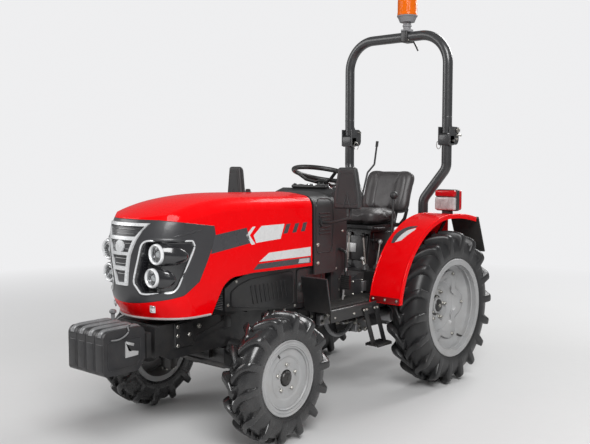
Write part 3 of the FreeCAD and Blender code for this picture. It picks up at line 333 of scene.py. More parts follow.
def finish(name, look):
    # colour drifts between two shades, dust gathers low down, fine grain in the bump
    mat, tree, shader, where = startMaterial(name)
    patch = spread(tree, noise(tree, where, look.get("patch", 6.0)), 0.35, 0.65)
    colour = mixColour(tree, patch, look["colour"], look.get("shade", look["colour"]))
    if look.get("speck"):
        speck = spread(tree, noise(tree, where, look.get("speckScale", 260.0), 2.0), 0.62, 0.72, 0.0,
            look["speck"])
        colour = mixColour(tree, speck, colour, look.get("speckColour", (0.3, 0.29, 0.27)))
    if look.get("dust"):
        high = newNode(tree, "SeparateXYZ", {"Vector": where}, "Z")
        low = spread(tree, high, 0.05, look.get("dustTop", 0.7), 1.0, 0.15)
        film = spread(tree, noise(tree, where, 11.0, 6.0, 0.7), 0.42, 0.78, 0.0, look["dust"])
        colour = mixColour(tree, multiply(tree, low, film), colour, look.get("dustColour",
            (0.24, 0.2, 0.155)))
    tree.links.new(colour, shader.inputs["Base Color"])
    grain = noise(tree, where, look.get("grain", 320.0), 3.0, 0.6, look.get("stretch"))
    rough = look.get("rough", (0.4, 0.5))
    tree.links.new(spread(tree, noise(tree, where, look.get("roughScale", 23.0), 5.0), 0.3, 0.7, *rough),
        shader.inputs["Roughness"])
    normal = bump(tree, grain, look.get("bump", 0.15), look.get("deep", 0.0006))
    if look.get("wave"):
        normal = bump(tree, noise(tree, where, look["wave"][0], 2.0), look["wave"][1], 0.004, normal)
    tree.links.new(normal, shader.inputs["Normal"])
    shader.inputs["Metallic"].default_value = look.get("metal", 0.0)
    shader.inputs["Specular IOR Level"].default_value = look.get("specular", 0.5)
    if look.get("coat"):
        shader.inputs["Coat Weight"].default_value = look["coat"]
        shader.inputs["Coat Roughness"].default_value = look.get("coatRough", 0.06)
    return mat


def glassMaterial(name, colour, rough, weight, shine):
    mat, tree, shader, where = startMaterial(name)
    tint = mixColour(tree, noise(tree, where, 40.0), colour, tuple(c * 0.96 for c in colour))
    tree.links.new(tint, shader.inputs["Base Color"])
    shader.inputs["Roughness"].default_value = rough
    shader.inputs["Transmission Weight"].default_value = weight
    shader.inputs["Specular IOR Level"].default_value = shine
    shader.inputs["IOR"].default_value = 1.45
    tree.links.new(bump(tree, noise(tree, where, 90.0), 0.04, 0.0008), shader.inputs["Normal"])
    return mat


finishes = {
    "redPaint": dict(colour=(0.82, 0.0006, 0.003), shade=(0.77, 0.0005, 0.0026), patch=2.4,
        rough=(0.22, 0.3), coat=0.2, coatRough=0.04, grain=900.0, bump=0.02, deep=0.0002,
        wave=(5.0, 0.012), dust=0.04, dustTop=0.6, specular=0.05),
    "maskPlastic": dict(colour=(0.038, 0.038, 0.041), shade=(0.032, 0.032, 0.035), rough=(0.3, 0.4),
        coat=0.25, coatRough=0.18, grain=1300.0, bump=0.08, deep=0.0002),
    "podPlastic": dict(colour=(0.014, 0.014, 0.016), shade=(0.01, 0.01, 0.012), rough=(0.16, 0.24),
        coat=0.9, coatRough=0.04, grain=700.0, bump=0.03),
    "silverPlastic": dict(colour=(0.72, 0.73, 0.74), shade=(0.66, 0.67, 0.68), metal=0.25,
        rough=(0.24, 0.32), coat=0.4, grain=900.0, bump=0.04),
    "brightChrome": dict(colour=(0.8, 0.81, 0.82), shade=(0.74, 0.75, 0.76), metal=1.0,
        rough=(0.07, 0.12), grain=500.0, bump=0.02),
    "rimPaint": dict(colour=(0.36, 0.363, 0.367), shade=(0.31, 0.313, 0.317), patch=9.0,
        rough=(0.34, 0.44), coat=0.2, coatRough=0.2, grain=520.0, bump=0.06, dust=0.3, dustTop=0.9,
        speck=0.2, speckColour=(0.3, 0.29, 0.28)),
    "tyreRubber": dict(colour=(0.022, 0.022, 0.023), shade=(0.015, 0.015, 0.016), patch=13.0,
        rough=(0.19, 0.33), grain=420.0, bump=0.12, deep=0.0006, dust=0.08, dustTop=0.9,
        dustColour=(0.16, 0.145, 0.125), specular=0.75),
    "dullRubber": dict(colour=(0.02, 0.02, 0.021), shade=(0.014, 0.014, 0.015), patch=13.0,
        rough=(0.32, 0.46), grain=420.0, bump=0.14, deep=0.0006, dust=0.08, dustTop=0.9,
        dustColour=(0.16, 0.145, 0.125), specular=0.45),
    "chassisBlack": dict(colour=(0.011, 0.011, 0.012), shade=(0.017, 0.017, 0.018), rough=(0.32, 0.46),
        coat=0.2, coatRough=0.25, grain=420.0, bump=0.12, dust=0.16, dustTop=0.7, speck=0.06),
    "barBlack": dict(colour=(0.036, 0.037, 0.039), shade=(0.03, 0.031, 0.033), rough=(0.26, 0.36),
        coat=0.35, coatRough=0.14, grain=700.0, bump=0.06),
    "castIron": dict(colour=(0.025, 0.025, 0.027), shade=(0.017, 0.017, 0.019), patch=16.0,
        rough=(0.34, 0.5), grain=170.0, bump=0.32, deep=0.0011, dust=0.12),
    "castGrey": dict(colour=(0.04, 0.041, 0.044), shade=(0.026, 0.027, 0.03), patch=10.0,
        rough=(0.42, 0.58), grain=210.0, bump=0.35, deep=0.0012, dust=0.4, dustTop=0.9, speck=0.2),
    "panelBlack": dict(colour=(0.017, 0.017, 0.018), shade=(0.013, 0.013, 0.014), rough=(0.3, 0.4),
        coat=0.15, grain=820.0, bump=0.08, dust=0.2),
    "blackPlastic": dict(colour=(0.03, 0.03, 0.031), shade=(0.024, 0.024, 0.025), rough=(0.42, 0.54),
        grain=950.0, bump=0.3, deep=0.0005, dust=0.1),
    "wheelGrip": dict(colour=(0.018, 0.018, 0.018), shade=(0.014, 0.014, 0.014), rough=(0.36, 0.46),
        grain=700.0, bump=0.2, deep=0.0004),
    "flapRubber": dict(colour=(0.022, 0.022, 0.022), shade=(0.03, 0.029, 0.028), rough=(0.55, 0.7),
        grain=300.0, bump=0.25, deep=0.0008, dust=0.35),
    "linkGrey": dict(colour=(0.034, 0.034, 0.036), shade=(0.024, 0.024, 0.026), rough=(0.36, 0.5),
        grain=330.0, bump=0.2, deep=0.0008, dust=0.35),
    "zinc": dict(colour=(0.48, 0.47, 0.44), shade=(0.4, 0.39, 0.36), patch=30.0, metal=0.9,
        rough=(0.28, 0.42), grain=600.0, bump=0.12, dust=0.2),
    "bareSteel": dict(colour=(0.52, 0.52, 0.53), shade=(0.44, 0.44, 0.45), metal=1.0, rough=(0.22, 0.36),
        grain=900.0, bump=0.12, stretch=(1.0, 0.12, 1.0)),
    "beaconGrey": dict(colour=(0.24, 0.24, 0.25), shade=(0.2, 0.2, 0.21), rough=(0.4, 0.5), grain=800.0,
        bump=0.15),
    "whiteFilm": dict(colour=(0.66, 0.66, 0.66), shade=(0.62, 0.62, 0.62), rough=(0.25, 0.32),
        grain=900.0, bump=0.02),
    "silverFilm": dict(colour=(0.5, 0.52, 0.54), shade=(0.46, 0.48, 0.5), metal=0.2, rough=(0.25, 0.33),
        grain=900.0, bump=0.02),
    "darkFilm": dict(colour=(0.055, 0.055, 0.06), shade=(0.045, 0.045, 0.05), rough=(0.24, 0.32),
        coat=0.3, grain=900.0, bump=0.02),
    "hoseRubber": dict(colour=(0.016, 0.016, 0.017), shade=(0.022, 0.022, 0.022), rough=(0.4, 0.55),
        grain=240.0, bump=0.2, deep=0.0005, dust=0.2),
    "lampBowl": dict(colour=(0.1, 0.1, 0.105), shade=(0.07, 0.07, 0.075), metal=0.7, rough=(0.16, 0.24),
        grain=200.0, bump=0.1),
    "ringWhite": dict(colour=(0.84, 0.85, 0.86), shade=(0.8, 0.81, 0.82), metal=0.15, rough=(0.16, 0.22),
        coat=0.5, grain=400.0, bump=0.02),
    "lampLens": dict(colour=(0.8, 0.81, 0.82), shade=(0.7, 0.71, 0.72), rough=(0.06, 0.12), coat=1.0,
        grain=120.0, bump=0.1),
    "weltGrey": dict(colour=(0.4, 0.36, 0.36), shade=(0.33, 0.29, 0.29), rough=(0.3, 0.4), grain=500.0),
    "tailClear": dict(colour=(0.5, 0.46, 0.46), shade=(0.34, 0.29, 0.29), patch=32.0, rough=(0.12, 0.22),
        coat=1.0, grain=90.0, bump=0.3, deep=0.001),
    "mirrorSilver": dict(colour=(0.82, 0.84, 0.86), metal=1.0, shade=(0.8, 0.82, 0.84),
        rough=(0.02, 0.04), grain=40.0, bump=0.01),
    "seatVinyl": dict(colour=(0.044, 0.04, 0.041), shade=(0.036, 0.033, 0.034), patch=7.0,
        rough=(0.4, 0.5), grain=620.0, bump=0.28, deep=0.0004, coat=0.08, coatRough=0.3, dust=0.06,
        dustTop=1.3),
    # a pale cast grey; on the weights' top ribs it is painted highlight, a lighter copy of the cast iron
    # for tops that catch the light
    "paleCastAndHighlight": dict(colour=(0.22, 0.222, 0.226), shade=(0.16, 0.162, 0.166), patch=14.0,
        rough=(0.22, 0.34), grain=190.0, bump=0.22, deep=0.0007, coat=0.3, coatRough=0.16),
    "plateLight": dict(colour=(0.5, 0.5, 0.5), shade=(0.42, 0.42, 0.42), metal=0.3, rough=(0.3, 0.42),
        grain=700.0, bump=0.05, dust=0.15),
    # a darker red: on the fenders' foot strips it is painted shade at the fender's foot; the coupler caps
    # use it as well
    "darkRed": dict(colour=(0.22, 0.0015, 0.003), shade=(0.18, 0.0012, 0.0025), rough=(0.3, 0.4),
        coat=0.2, grain=700.0, bump=0.05, dust=0.15),
    "aluminium": dict(colour=(0.44, 0.44, 0.45), shade=(0.36, 0.36, 0.37), patch=18.0, metal=0.8,
        rough=(0.34, 0.48), grain=260.0, bump=0.22, deep=0.0008, dust=0.2),
}
glasses = {
    "clearGlass": dict(colour=(0.97, 0.98, 0.99), rough=0.03, weight=0.97, shine=0.5),
    "amberGlass": dict(colour=(0.9, 0.17, 0.006), rough=0.16, weight=0.2, shine=0.12),
    "redGlass": dict(colour=(0.72, 0.01, 0.015), rough=0.08, weight=0.35, shine=0.5),
}
looks = {name: finish(name, look) for name, look in finishes.items()}
looks.update({name: glassMaterial(name, **look) for name, look in glasses.items()})
print("finishes ready", len(looks))


def dress(node, material):
    # a node from the frame keeps its mesh and takes this material in every slot
    mesh = bpy.data.objects[node].data
    if not mesh.materials:
        mesh.materials.append(material)
    for index in range(len(mesh.materials)):
        mesh.materials[index] = material


# lugged tyres: each row is half width and radius of the carcass, then of the bar's crest
rearTyre = {
    "lugs": 18,
    "sweep": 0.215,
    "reach": 0.092,
    "section": [(0.0, 0.411, 0.0, 0.4398), (0.02, 0.4106, 0.02, 0.4396), (0.04, 0.4085, 0.041, 0.4386),
        (0.056, 0.4045, 0.062, 0.4362), (0.068, 0.3985, 0.08, 0.4322), (0.0775, 0.3905, 0.0935, 0.4262),
        (0.085, 0.38, 0.1015, 0.4165), (0.091, 0.367, 0.1042, 0.403), (0.0955, 0.352, 0.1045, 0.385),
        (0.0982, 0.336, 0.1038, 0.364), (0.0985, 0.32, 0.102, 0.34), (0.0965, 0.306, 0.0972, 0.307),
        (0.0945, 0.297, 0.0945, 0.297), (0.0915, 0.293, 0.0915, 0.293), (0.0895, 0.285, 0.0895, 0.285),
        (0.085, 0.281, 0.085, 0.281), (0.082, 0.27, 0.082, 0.27), (0.081, 0.256, 0.081, 0.256),
        (0.06, 0.2548, 0.06, 0.2548), (0.0, 0.2546, 0.0, 0.2546)],
}
frontTyre = {
    "lugs": 14,
    "sweep": 0.24,
    "reach": 0.072,
    "section": [(0.0, 0.2775, 0.0, 0.3018), (0.015, 0.277, 0.015, 0.3016), (0.03, 0.275, 0.031, 0.3006),
        (0.043, 0.2712, 0.048, 0.2984), (0.053, 0.2655, 0.062, 0.2946), (0.0605, 0.258, 0.072, 0.2888),
        (0.0662, 0.2485, 0.0782, 0.28), (0.0702, 0.237, 0.0798, 0.268), (0.0728, 0.224, 0.0795, 0.253),
        (0.0732, 0.211, 0.078, 0.233), (0.0715, 0.199, 0.0735, 0.206), (0.069, 0.189, 0.069, 0.189),
        (0.068, 0.185, 0.068, 0.185), (0.066, 0.1815, 0.066, 0.1815), (0.064, 0.1765, 0.064, 0.1765),
        (0.061, 0.1735, 0.061, 0.1735), (0.058, 0.164, 0.058, 0.164), (0.057, 0.1545, 0.057, 0.1545),
        (0.04, 0.1528, 0.04, 0.1528), (0.0, 0.1526, 0.0, 0.1526)],
}


def tyreShape(centre, size):
    # the section is swept round the axle; between carcass and crest each point takes the
    # bar's share there, rows lean back with distance from the middle, left and right bars
    # half a pitch apart
    half = smoothPath(size["section"], 64)
    ring = np.concatenate([(half[::-1][:-1] * [-1, 1, -1, 1])[1:], half])
    length = np.concatenate([[0], np.cumsum(np.linalg.norm(np.diff(half[:, 2:], axis=0), axis=1))])
    s = np.concatenate([-length[::-1][:-1][1:], length])
    part = np.array([0, 0.025, 0.055, 0.1, 0.17, 0.24, 0.3, 0.345, 0.375, 0.43])
    flank = np.array([0, 0.55, 0.93, 1.0, 1.0, 1.0, 0.93, 0.55, 0, 0])
    part = np.concatenate([part, part + 0.5])
    pitch = 2 * np.pi / size["lugs"]
    row = ((np.arange(size["lugs"])[:, None] + part[None]) * pitch).ravel()
    barLeft = np.tile(np.concatenate([flank, flank * 0]), size["lugs"])
    barRight = np.tile(np.concatenate([flank * 0, flank]), size["lugs"])
    share = (barLeft[:, None] * ease(-0.013, -0.004, s) + barRight[:, None] * ease(-0.013, -0.004, -s))
    out = np.minimum(np.abs(s) / size["reach"], 1.6)
    lag = size["sweep"] * (1 - np.exp(-1.9 * out)) / (1 - math.exp(-1.9))
    turn = row[:, None] - np.minimum(lag, size["sweep"] * 1.06)[None]
    x = ring[:, 0] * (1 - share) + ring[:, 2] * share
    r = ring[:, 1] * (1 - share) + ring[:, 3] * share
    points = np.stack([centre[0] + x, centre[1] - r * np.sin(turn), centre[2] + r * np.cos(turn)], -1)
    return points, gridFaces(len(row), len(s), wrapRows=True, wrapCols=True)


def signedVolume(points, quads):
    p = np.asarray(points).reshape(-1, 3)
    p = p - p.mean(0)
    a, b, c, d = (p[quads[:, i]] for i in range(4))
    return (np.cross(a, b) * c).sum() + (np.cross(a, c) * d).sum()


def makeTyres():
    for side in ("left", "right"):
        for end, size in (("rear", rearTyre), ("front", frontTyre)):
            node = f"{end}_tyre_{side}"
            points, quads = tyreShape(middleOf(node), size)
            if signedVolume(points, quads) < 0:
                quads = quads[:, ::-1]
            rubber = "tyreRubber" if end == "front" else "dullRubber"
            piece = addPiece(f"{end}Tyre_{side}", (points, quads), rubber, f"{end}_wheel_{side}",
                crease=52, welded=False)
            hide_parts(node)


makeTyres()
print("tyres done")

plainNodes = {
    "redPaint": ["hood_shell", "fenders"],
    "maskPlastic": ["grille_mask"],
    "silverPlastic": ["grille_frame"],
    "rimPaint": ["front_rim_left", "front_rim_right", "rear_rim_left", "rear_rim_right"],
    "chassisBlack": ["front_frame", "weight_bracket", "rear_axle", "front_axle", "platforms",
        "front_drive_shaft", "seat_base", "hitch_bracket", "drawbar", "pedals", "seat_deck",
        "knuckle_left", "knuckle_right"],
    "barBlack": ["rops_posts", "rops_hoop"],
    "castIron": ["front_weights"],
    "castGrey": ["engine_block", "transmission"],
    "panelBlack": ["side_covers", "radiator"],
    "blackPlastic": ["dash_console", "steering_column", "mirrors", "control_levers", "battery"],
    "wheelGrip": ["steering_wheel"],
    "flapRubber": ["mud_flaps"],
    "linkGrey": ["lower_link_left", "lower_link_right", "lift_arms", "lift_rod_left", "lift_rod_right",
        "top_link", "tie_rod"],
    "bareSteel": ["pto_shaft"],
    "beaconGrey": ["beacon_base"],
}
for look, nodes in plainNodes.items():
    for node in nodes:
        dress(node, looks[look])


# pieces laid on the body: films and lines are found by casting on the frame's own shapes
def near(triangles, low, high):
    a, b = triangles.min(1), triangles.max(1)
    return triangles[((b >= np.asarray(low)) & (a <= np.asarray(high))).all(1)]


def facing(points, quads, direction):
    # turn an open sheet's faces so that they look along the direction
    p = np.asarray(points).reshape(-1, 3)
    a, b, c, d = (p[quads[:, i]] for i in range(4))
    total = np.cross(c - a, d - b).sum(0)
    return (p, quads if total @ np.asarray(direction) > 0 else quads[:, ::-1])


def padGrid(grid, drop):
    # a border row all round, dropped so that the sheet's edges are buried
    grid = np.pad(grid, ((1, 1), (1, 1), (0, 0)), mode="edge")
    edge = np.ones(grid.shape[:2], bool)
    edge[1:-1, 1:-1] = False
    grid[edge] += np.broadcast_to(drop, grid.shape)[edge]
    return grid


def ruled(left, right, across, along):
    # straight rungs between two lines of corners
    left, right = smoothless(left, along), smoothless(right, along)
    t = np.linspace(0, 1, across)[None, :, None]
    return left[:, None] * (1 - t) + right[:, None] * t


def smoothless(points, count):
    # points along a broken line, its corners kept
    p = np.asarray(points, float)
    t = np.linspace(0, len(p) - 1, count)
    return np.stack([np.interp(t, np.arange(len(p)), p[:, i]) for i in range(p.shape[1])], 1)


hoodSkin = trianglesOf("hood_shell", "grille_mask")


def sideFilm(left, right, lift=0.0006, across=16, along=7):
    # a film on the hood's left flank from lines of (distance behind the nose, height)
    flat = ruled(left, right, across, along) / 1000
    starts = np.stack([np.full(flat.shape[:2], 0.4), noseY + flat[..., 0], flat[..., 1]], -1)
    low, high = starts.reshape(-1, 3).min(0), starts.reshape(-1, 3).max(0)
    skin = near(hoodSkin, (0.1, low[1], low[2]), (0.4, high[1], high[2]))
    grid = castOnto(skin, starts, [(-1, 0, 0)])[0].reshape(starts.shape)
    grid[..., 0] += lift
    grid = padGrid(grid, (-0.002, 0, 0))
    return facing(grid, gridFaces(*grid.shape[:2]), (1, 0, 0))


def bothSides(shapes):
    return list(shapes) + [mirrorX(shape) for shape in shapes]


def onSide(shapes, sign):
    return shapes if sign > 0 else [mirrorX(shape) for shape in shapes]


hoodDecals = {
    "darkBand": [([(352, 947), (326, 864)], [(558, 968), (580, 893)])],
    "lightMarks": [([(597, 969), (550, 930), (590, 884)], [(619, 970), (577, 930), (614, 886)]),
        ([(660, 970), (604, 928), (620, 891)], [(826, 970), (811, 933), (796, 898)])],
    "slashes": [([(841, 968), (818, 921)], [(873, 969), (849, 923)]), ([(909, 967), (886, 921)],
        [(940, 968), (917, 923)]), ([(972, 967), (953, 923)], [(1003, 969), (984, 924)])],
    "whiteStripe": [([(712, 836), (640, 798)], [(1030, 839), (1030, 793)])],
    "underStripe": [([(632, 789), (600, 763)], [(1030, 787), (1030, 757)])],
    "underBox": [([(940, 784), (930, 763)], [(1018, 783), (1018, 760)])],
}


def makeDecals():
    films = {"darkBand": "darkFilm", "lightMarks": "whiteFilm", "slashes": "darkFilm", "whiteStripe":
        "whiteFilm", "underStripe": "darkFilm", "underBox": "silverFilm"}
    for name, marks in hoodDecals.items():
        lift = 0.0013 if name == "underBox" else 0.0006
        shapes = [sideFilm(left, right, lift, across=24 if name == "whiteStripe" else 14) for left, right
            in marks]
        addPiece(f"decal_{name}", bothSides(shapes), films[name], "hood", welded=False)


makeDecals()
print("decals done")

nose = {
    "axisY": 0.26,           # the line the mask is wrapped about, behind the nose
    "podOutline": [(26.5, 940), (79.5, 932), (82.5, 905), (58.0, 711), (23.5, 704), (15.5, 755)],
    "lamps": [(0.168, 0.06, 0.88, 0.046), (0.149, 0.05, 0.777, 0.043)],
    "fairEnds": [(0.224, 0.19, 0.866), (0.208, 0.13, 0.768)],
    "markers": [(26.7, 0.865), (21.6, 0.768)],
    "floorBack": 0.078,       # how far behind the nose the pods' floor lies
}


def noseHit(angles, heights):
    # rays aimed in at the mask's upright axis, by angle from straight ahead and height
    a = np.radians(np.asarray(angles, float)).ravel()
    h = np.asarray(heights, float).ravel()
    out = np.stack([np.sin(a), -np.cos(a), 0 * a], -1)
    starts = np.array([0, noseY + nose["axisY"], 0]) + out * 0.6 + h[:, None] * [0, 0, 1]
    low, high = starts.min(0), starts.max(0)
    skin = near(hoodSkin, (-0.3, noseY - 0.1, low[2]), (0.3, noseY + 0.5, high[2]))
    hit, ok = castOnto(skin, starts, -out)
    if not ok.all():
        # a line that slips between two triangles takes its nearest neighbour's depth
        good, bad = np.flatnonzero(ok), np.flatnonzero(~ok)
        gap = np.abs(a[bad][:, None] - a[good]) + np.abs(h[bad][:, None] - h[good]) * 4
        depth = np.linalg.norm(hit[good] - starts[good], axis=1)[gap.argmin(1)]
        hit[bad] = starts[bad] - out[bad] * depth[:, None]
    return hit, out, ok


def roundCorners(points, share, count):
    # each corner of a closed outline gives way to a short curve between its two sides
    p = np.asarray(points, float)
    before, after = np.roll(p, 1, 0), np.roll(p, -1, 0)
    a = p + (before - p) * share
    b = p + (after - p) * share
    t = np.linspace(0, 1, count)[None, :, None]
    curve = (1 - t) ** 2 * a[:, None] + 2 * t * (1 - t) * p[:, None] + t ** 2 * b[:, None]
    return curve.reshape(-1, 2)


def closedTube(path, radius, sides=8, up=(0, 0, 1)):
    path = np.asarray(path, float)
    tangent = np.roll(path, -1, 0) - np.roll(path, 1, 0)
    side, top = sidesOf(tangent, up)
    turn = roundAngles(sides)
    ring = np.cos(turn)[None, :, None] * side[:, None] + np.sin(turn)[None, :, None] * top[:, None]
    return path[:, None] + ring * radius, gridFaces(len(path), sides, wrapRows=True, wrapCols=True)


maskEdges = {
    "low": [(-100, 648), (15, 656), (70, 674), (165, 694), (255, 746), (304, 830), (342, 904),
        (357, 940)],
    "high": [(-100, 1034), (90, 1026), (212, 1008), (351, 989), (357, 950)],
}


def insideBy(loop, angle, height):
    # distance inside a closed outline, in mm, along the mask's surface; negative outside
    scale = np.array([4.25, 1.0])
    a = loop * scale
    b = np.roll(a, -1, 0)
    p = np.stack([angle * scale[0], height], -1)[..., None, :]
    t = np.clip(((p - a) * (b - a)).sum(-1) / ((b - a) ** 2).sum(-1), 0, 1)
    gap = np.linalg.norm(p - a - t[..., None] * (b - a), axis=-1).min(-1)
    rising = (a[:, 1] > p[..., 1]) != (b[:, 1] > p[..., 1])
    run = b[:, 1] - a[:, 1]
    x = a[:, 0] + (p[..., 1] - a[:, 1]) / np.where(run == 0, 1e-9, run) * (b[:, 0] - a[:, 0])
    inside = (rising & (p[..., 0] < x)).sum(-1) % 2 == 1
    return np.where(inside, gap, -gap)


def makeMask():
    # columns by angle round the nose, rows by height between the mask's two edges
    half = np.concatenate([np.linspace(0, 14, 12)[:-1], np.linspace(14, 86, 92)[:-1],
        np.linspace(86, 113.4, 22)])
    angle = np.concatenate([-half[:0:-1], half])
    share = np.linspace(0, 1, 88)
    back = np.full(len(angle), 20.0)
    edges = []
    for name, nudge in (("high", -1.0), ("low", 1.0)):
        # an edge's height hangs on how far back the skin lies there, so a few rounds settle it
        line = np.array(maskEdges[name])
        for step in range(7):
            level = np.interp(back, line[:, 0], line[:, 1])
            hit, out, ok = noseHit(angle, (level + nudge) / 1000)
            back = np.where(ok, (hit[:, 1] - noseY) * 1000, back)
        edges.append(level)
    top, bottom = edges[0], np.minimum(edges[1], edges[0] - 2)
    height = bottom[None] + (top - bottom)[None] * share[:, None]
    wide = np.broadcast_to(angle, height.shape)
    hit, out, ok = noseHit(wide, height / 1000)
    grid = hit.reshape(*height.shape, 3)
    outward = out.reshape(grid.shape)
    loop = roundCorners(np.array(nose["podOutline"]), 0.16, 7)
    into = insideBy(loop, np.abs(wide), height)
    sink = ease(0.5, 9.0, into)
    floor = noseY + nose["floorBack"]
    deep = np.maximum(floor - grid[..., 1], 0) * sink
    grid[..., 1] += deep
    shallow = 0.004 * sink * (deep < 0.004)
    grid -= outward * shallow[..., None]
    rim = 0.0022 * np.exp(-((into + 3.0) / 4.0) ** 2)
    grid += outward * rim[..., None]
    points, quads = facing(grid, gridFaces(*grid.shape[:2]), (0, -1, 0))
    mask = addPiece("noseMask", (points, quads), "maskPlastic", "hood", crease=50,
        welded=False)
    # the sunk pods take the darker gloss
    mask.data.materials.append(looks["podPlastic"])
    centre = into[:-1, :-1] + into[1:, 1:] + into[1:, :-1] + into[:-1, 1:]
    mask.data.polygons.foreach_set("material_index", (centre.ravel() > 2).astype(np.int32))
    wall = mask.modifiers.new("wall", "SOLIDIFY")
    wall.thickness = 0.004
    wall.offset = -1
    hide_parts("grille_mask")
    hit, out, ok = noseHit(loop[:, 0], loop[:, 1] / 1000)
    frameLine = closedTube(hit + out * 0.0012, 0.0042)
    addPiece("podFrames", bothSides([frameLine]), "silverPlastic", "hood")


makeMask()


def makeHeadLamps():
    rings, bowls, glass, bulbs, fairings = [], [], [], [], []
    for (x, back, z, r), end in zip(nose["lamps"], nose["fairEnds"]):
        centre = np.array([x, noseY + back, z])
        axis = (0.0, 1.0, 0.0)
        rings.append(turned([(r * 0.73, 0.004), (r * 0.75, -0.001), (r * 0.8, -0.006), (r * 0.88, -0.008),
            (r * 0.97, -0.005), (r * 1.0, 0.004), (r * 1.0, 0.016), (r * 0.8, 0.018), (r * 0.73, 0.012)],
            centre, axis, 56, ring=True))
        bowls.append(turned([(0.0, 0.034), (r * 0.2, 0.033), (r * 0.45, 0.026), (r * 0.68, 0.014),
            (r * 0.83, 0.004), (r * 0.88, 0.01), (r * 0.7, 0.03), (r * 0.4, 0.04), (0.0, 0.044)], centre,
            axis, 40))
        bulbs.append(turned([(0, 0.004), (r * 0.22, 0.006), (r * 0.34, 0.013), (r * 0.36, 0.02),
            (r * 0.28, 0.036), (0, 0.038)], centre, axis, 32))
        glass.append(turned([(0, -0.0045), (r * 0.3, -0.004), (r * 0.6, -0.002), (r * 0.82, 0.0022),
            (r * 0.82, 0.0042), (r * 0.6, 0.0005), (r * 0.3, -0.0015), (0, -0.002)], centre, axis, 40))
        # a cone-like cowl whose round section shrinks as it runs back to the flank
        start = centre + [0, 0.004, 0]
        target = np.array([end[0], noseY + end[1], end[2]])
        t = np.linspace(0, 1, 26)
        path = (start[None] * (1 - t)[:, None] + target[None] * t[:, None] + np.outer(np.sin(t * np.pi) *
            0.01, [1.0, -0.25, 0]))
        radius = r * 1.06 * np.sqrt(np.maximum(1 - t ** 2.2, 0.0004))
        direction = np.tile([0.0, 1.0, 0.0], (len(t), 1))
        side, up = sidesOf(direction)
        turn = roundAngles(56)
        # a soft crest along the outboard upper side catches the light
        crest = 1 + 0.1 * np.exp(-((turn - 2.35) / 0.22) ** 2)[None] * np.sin(np.pi * t)[:, None]
        ring = (np.cos(turn)[None, :, None] * side[:, None] + np.sin(turn)[None, :, None] *
            up[:, None]) * crest[..., None]
        cowl = path[:, None] + ring * radius[:, None, None]
        inner = path[:1, None] + ring[:1] * (r * 0.98) + [0, 0.012, 0]
        ends = np.broadcast_to(path[-1], (1, len(turn), 3))
        body = np.concatenate([inner, cowl, ends])
        fairings.append((body, gridFaces(len(body), len(turn), wrapCols=True)))
    ringPiece = addPiece("lampRings", bothSides(rings), "ringWhite", "hood")
    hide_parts("head_lamps")
    addPiece("lampBowls", bothSides(bowls), "lampBowl", "hood")
    addPiece("lampBulbs", bothSides(bulbs), "lampLens", "hood")
    addPiece("lampGlass", bothSides(glass), "clearGlass", "hood")
    addPiece("lampCowls", bothSides(fairings), "podPlastic", "hood")
    spots = np.array(nose["markers"])
    hit = noseHit(spots[:, 0], spots[:, 1])[0]
    hit[:, 1] = np.maximum(hit[:, 1], noseY + nose["floorBack"] - 0.004)
    marks = [turned([(0, 0.006), (0.004, 0.0055), (0.0075, 0.003), (0.009, 0.0), (0.009, -0.006),
        (0, -0.006)], place, (0, -1, 0), 20) for place in hit]
    addPiece("markerLamps", bothSides(marks), "lampLens", "hood")


makeHeadLamps()


def makeNoseTrim():
    # slats set back in the grille's windows
    slats = []
    for height in (0.79, 0.803, 0.835, 0.858, 0.9, 0.924, 0.965, 0.985):
        half = np.interp(height, [0.739, 0.812, 0.873, 0.943, 0.981, 1.013],
            [30, 43, 55, 82, 99, 122]) / 1000
        x = np.linspace(-half, half, 30)
        angle = np.degrees(np.arctan2(x, nose["axisY"] - 0.01))
        hit, out, ok = noseHit(angle, np.full(30, height))
        slats.append(tube(hit + out * 0.0012, 0.0022, 6))
    addPiece("grilleSlats", slats, "podPlastic", "hood")
    # a soft welt follows the painted hood's lower edge round the nose
    angle = np.linspace(-82, 82, 90)
    hit, out, ok = noseHit(angle, np.full(90, 0.5955))
    low = hit[ok] + out[ok] * 0.001 - [0, 0, 0.0045]
    side = np.stack([np.full(8, 0), np.linspace(0.26, 0.318, 8), np.full(8, 0)], -1)
    starts = np.stack([np.full(8, 0.4), noseY + side[:, 1], np.full(8, 0.5955)], -1)
    skin = near(hoodSkin, (0.1, noseY + 0.2, 0.58), (0.4, noseY + 0.35, 0.61))
    flank, good = castOnto(skin, starts, [(-1, 0, 0)])
    flank = flank[good] - [-0.001, 0, 0.0045]
    flank = flank[flank[:, 1] > low[-1, 1] + 0.004]
    path = np.concatenate([flank[::-1] * [-1, 1, 1], low, flank])
    addPiece("hoodWelt", tube(smoothPath(path, 160), 0.0052, 10), "weltGrey", "hood")
    # a raised crease on each cheek of the mask, and the hood's latches
    t = np.linspace(0, 1, 24)
    hit, out, ok = noseHit(np.interp(t, [0, 1], [57, 96]), 0.955 + 0.025 * t)
    ridge = tube(hit - out * 0.0015, 0.005 * np.sin(np.pi * np.clip(t, 0.03, 0.97)) ** 0.5, 10)
    addPiece("maskCrease", bothSides([ridge]), "maskPlastic", "hood")
    hit, out, ok = noseHit([34.5], [0.64])
    face = turnedBy((0, 0, 1), 34.5)
    latch = [roundBox(hit[0] + out[0] * 0.004, (0.016, 0.013, 0.026), 0.005, turnBy=face),
        roundBox(hit[0] + out[0] * 0.002, (0.026, 0.008, 0.038), 0.003, turnBy=face)]
    addPiece("hoodLatches", bothSides(latch), "brightChrome", "hood")
    knob = turned([(0, 0.016), (0.01, 0.015), (0.014, 0.01), (0.013, 0.004), (0.018, 0.0),
        (0.018, -0.012), (0, -0.012)], (0.0, noseY + 0.8, 1.1235), (0, 0, 1), 28)
    addPiece("hoodKnob", knob, "blackPlastic", "hood")


makeNoseTrim()
print("nose done")


def ahead(mm):
    return rearY - mm / 1000


def behind(mm):
    return rearY + mm / 1000


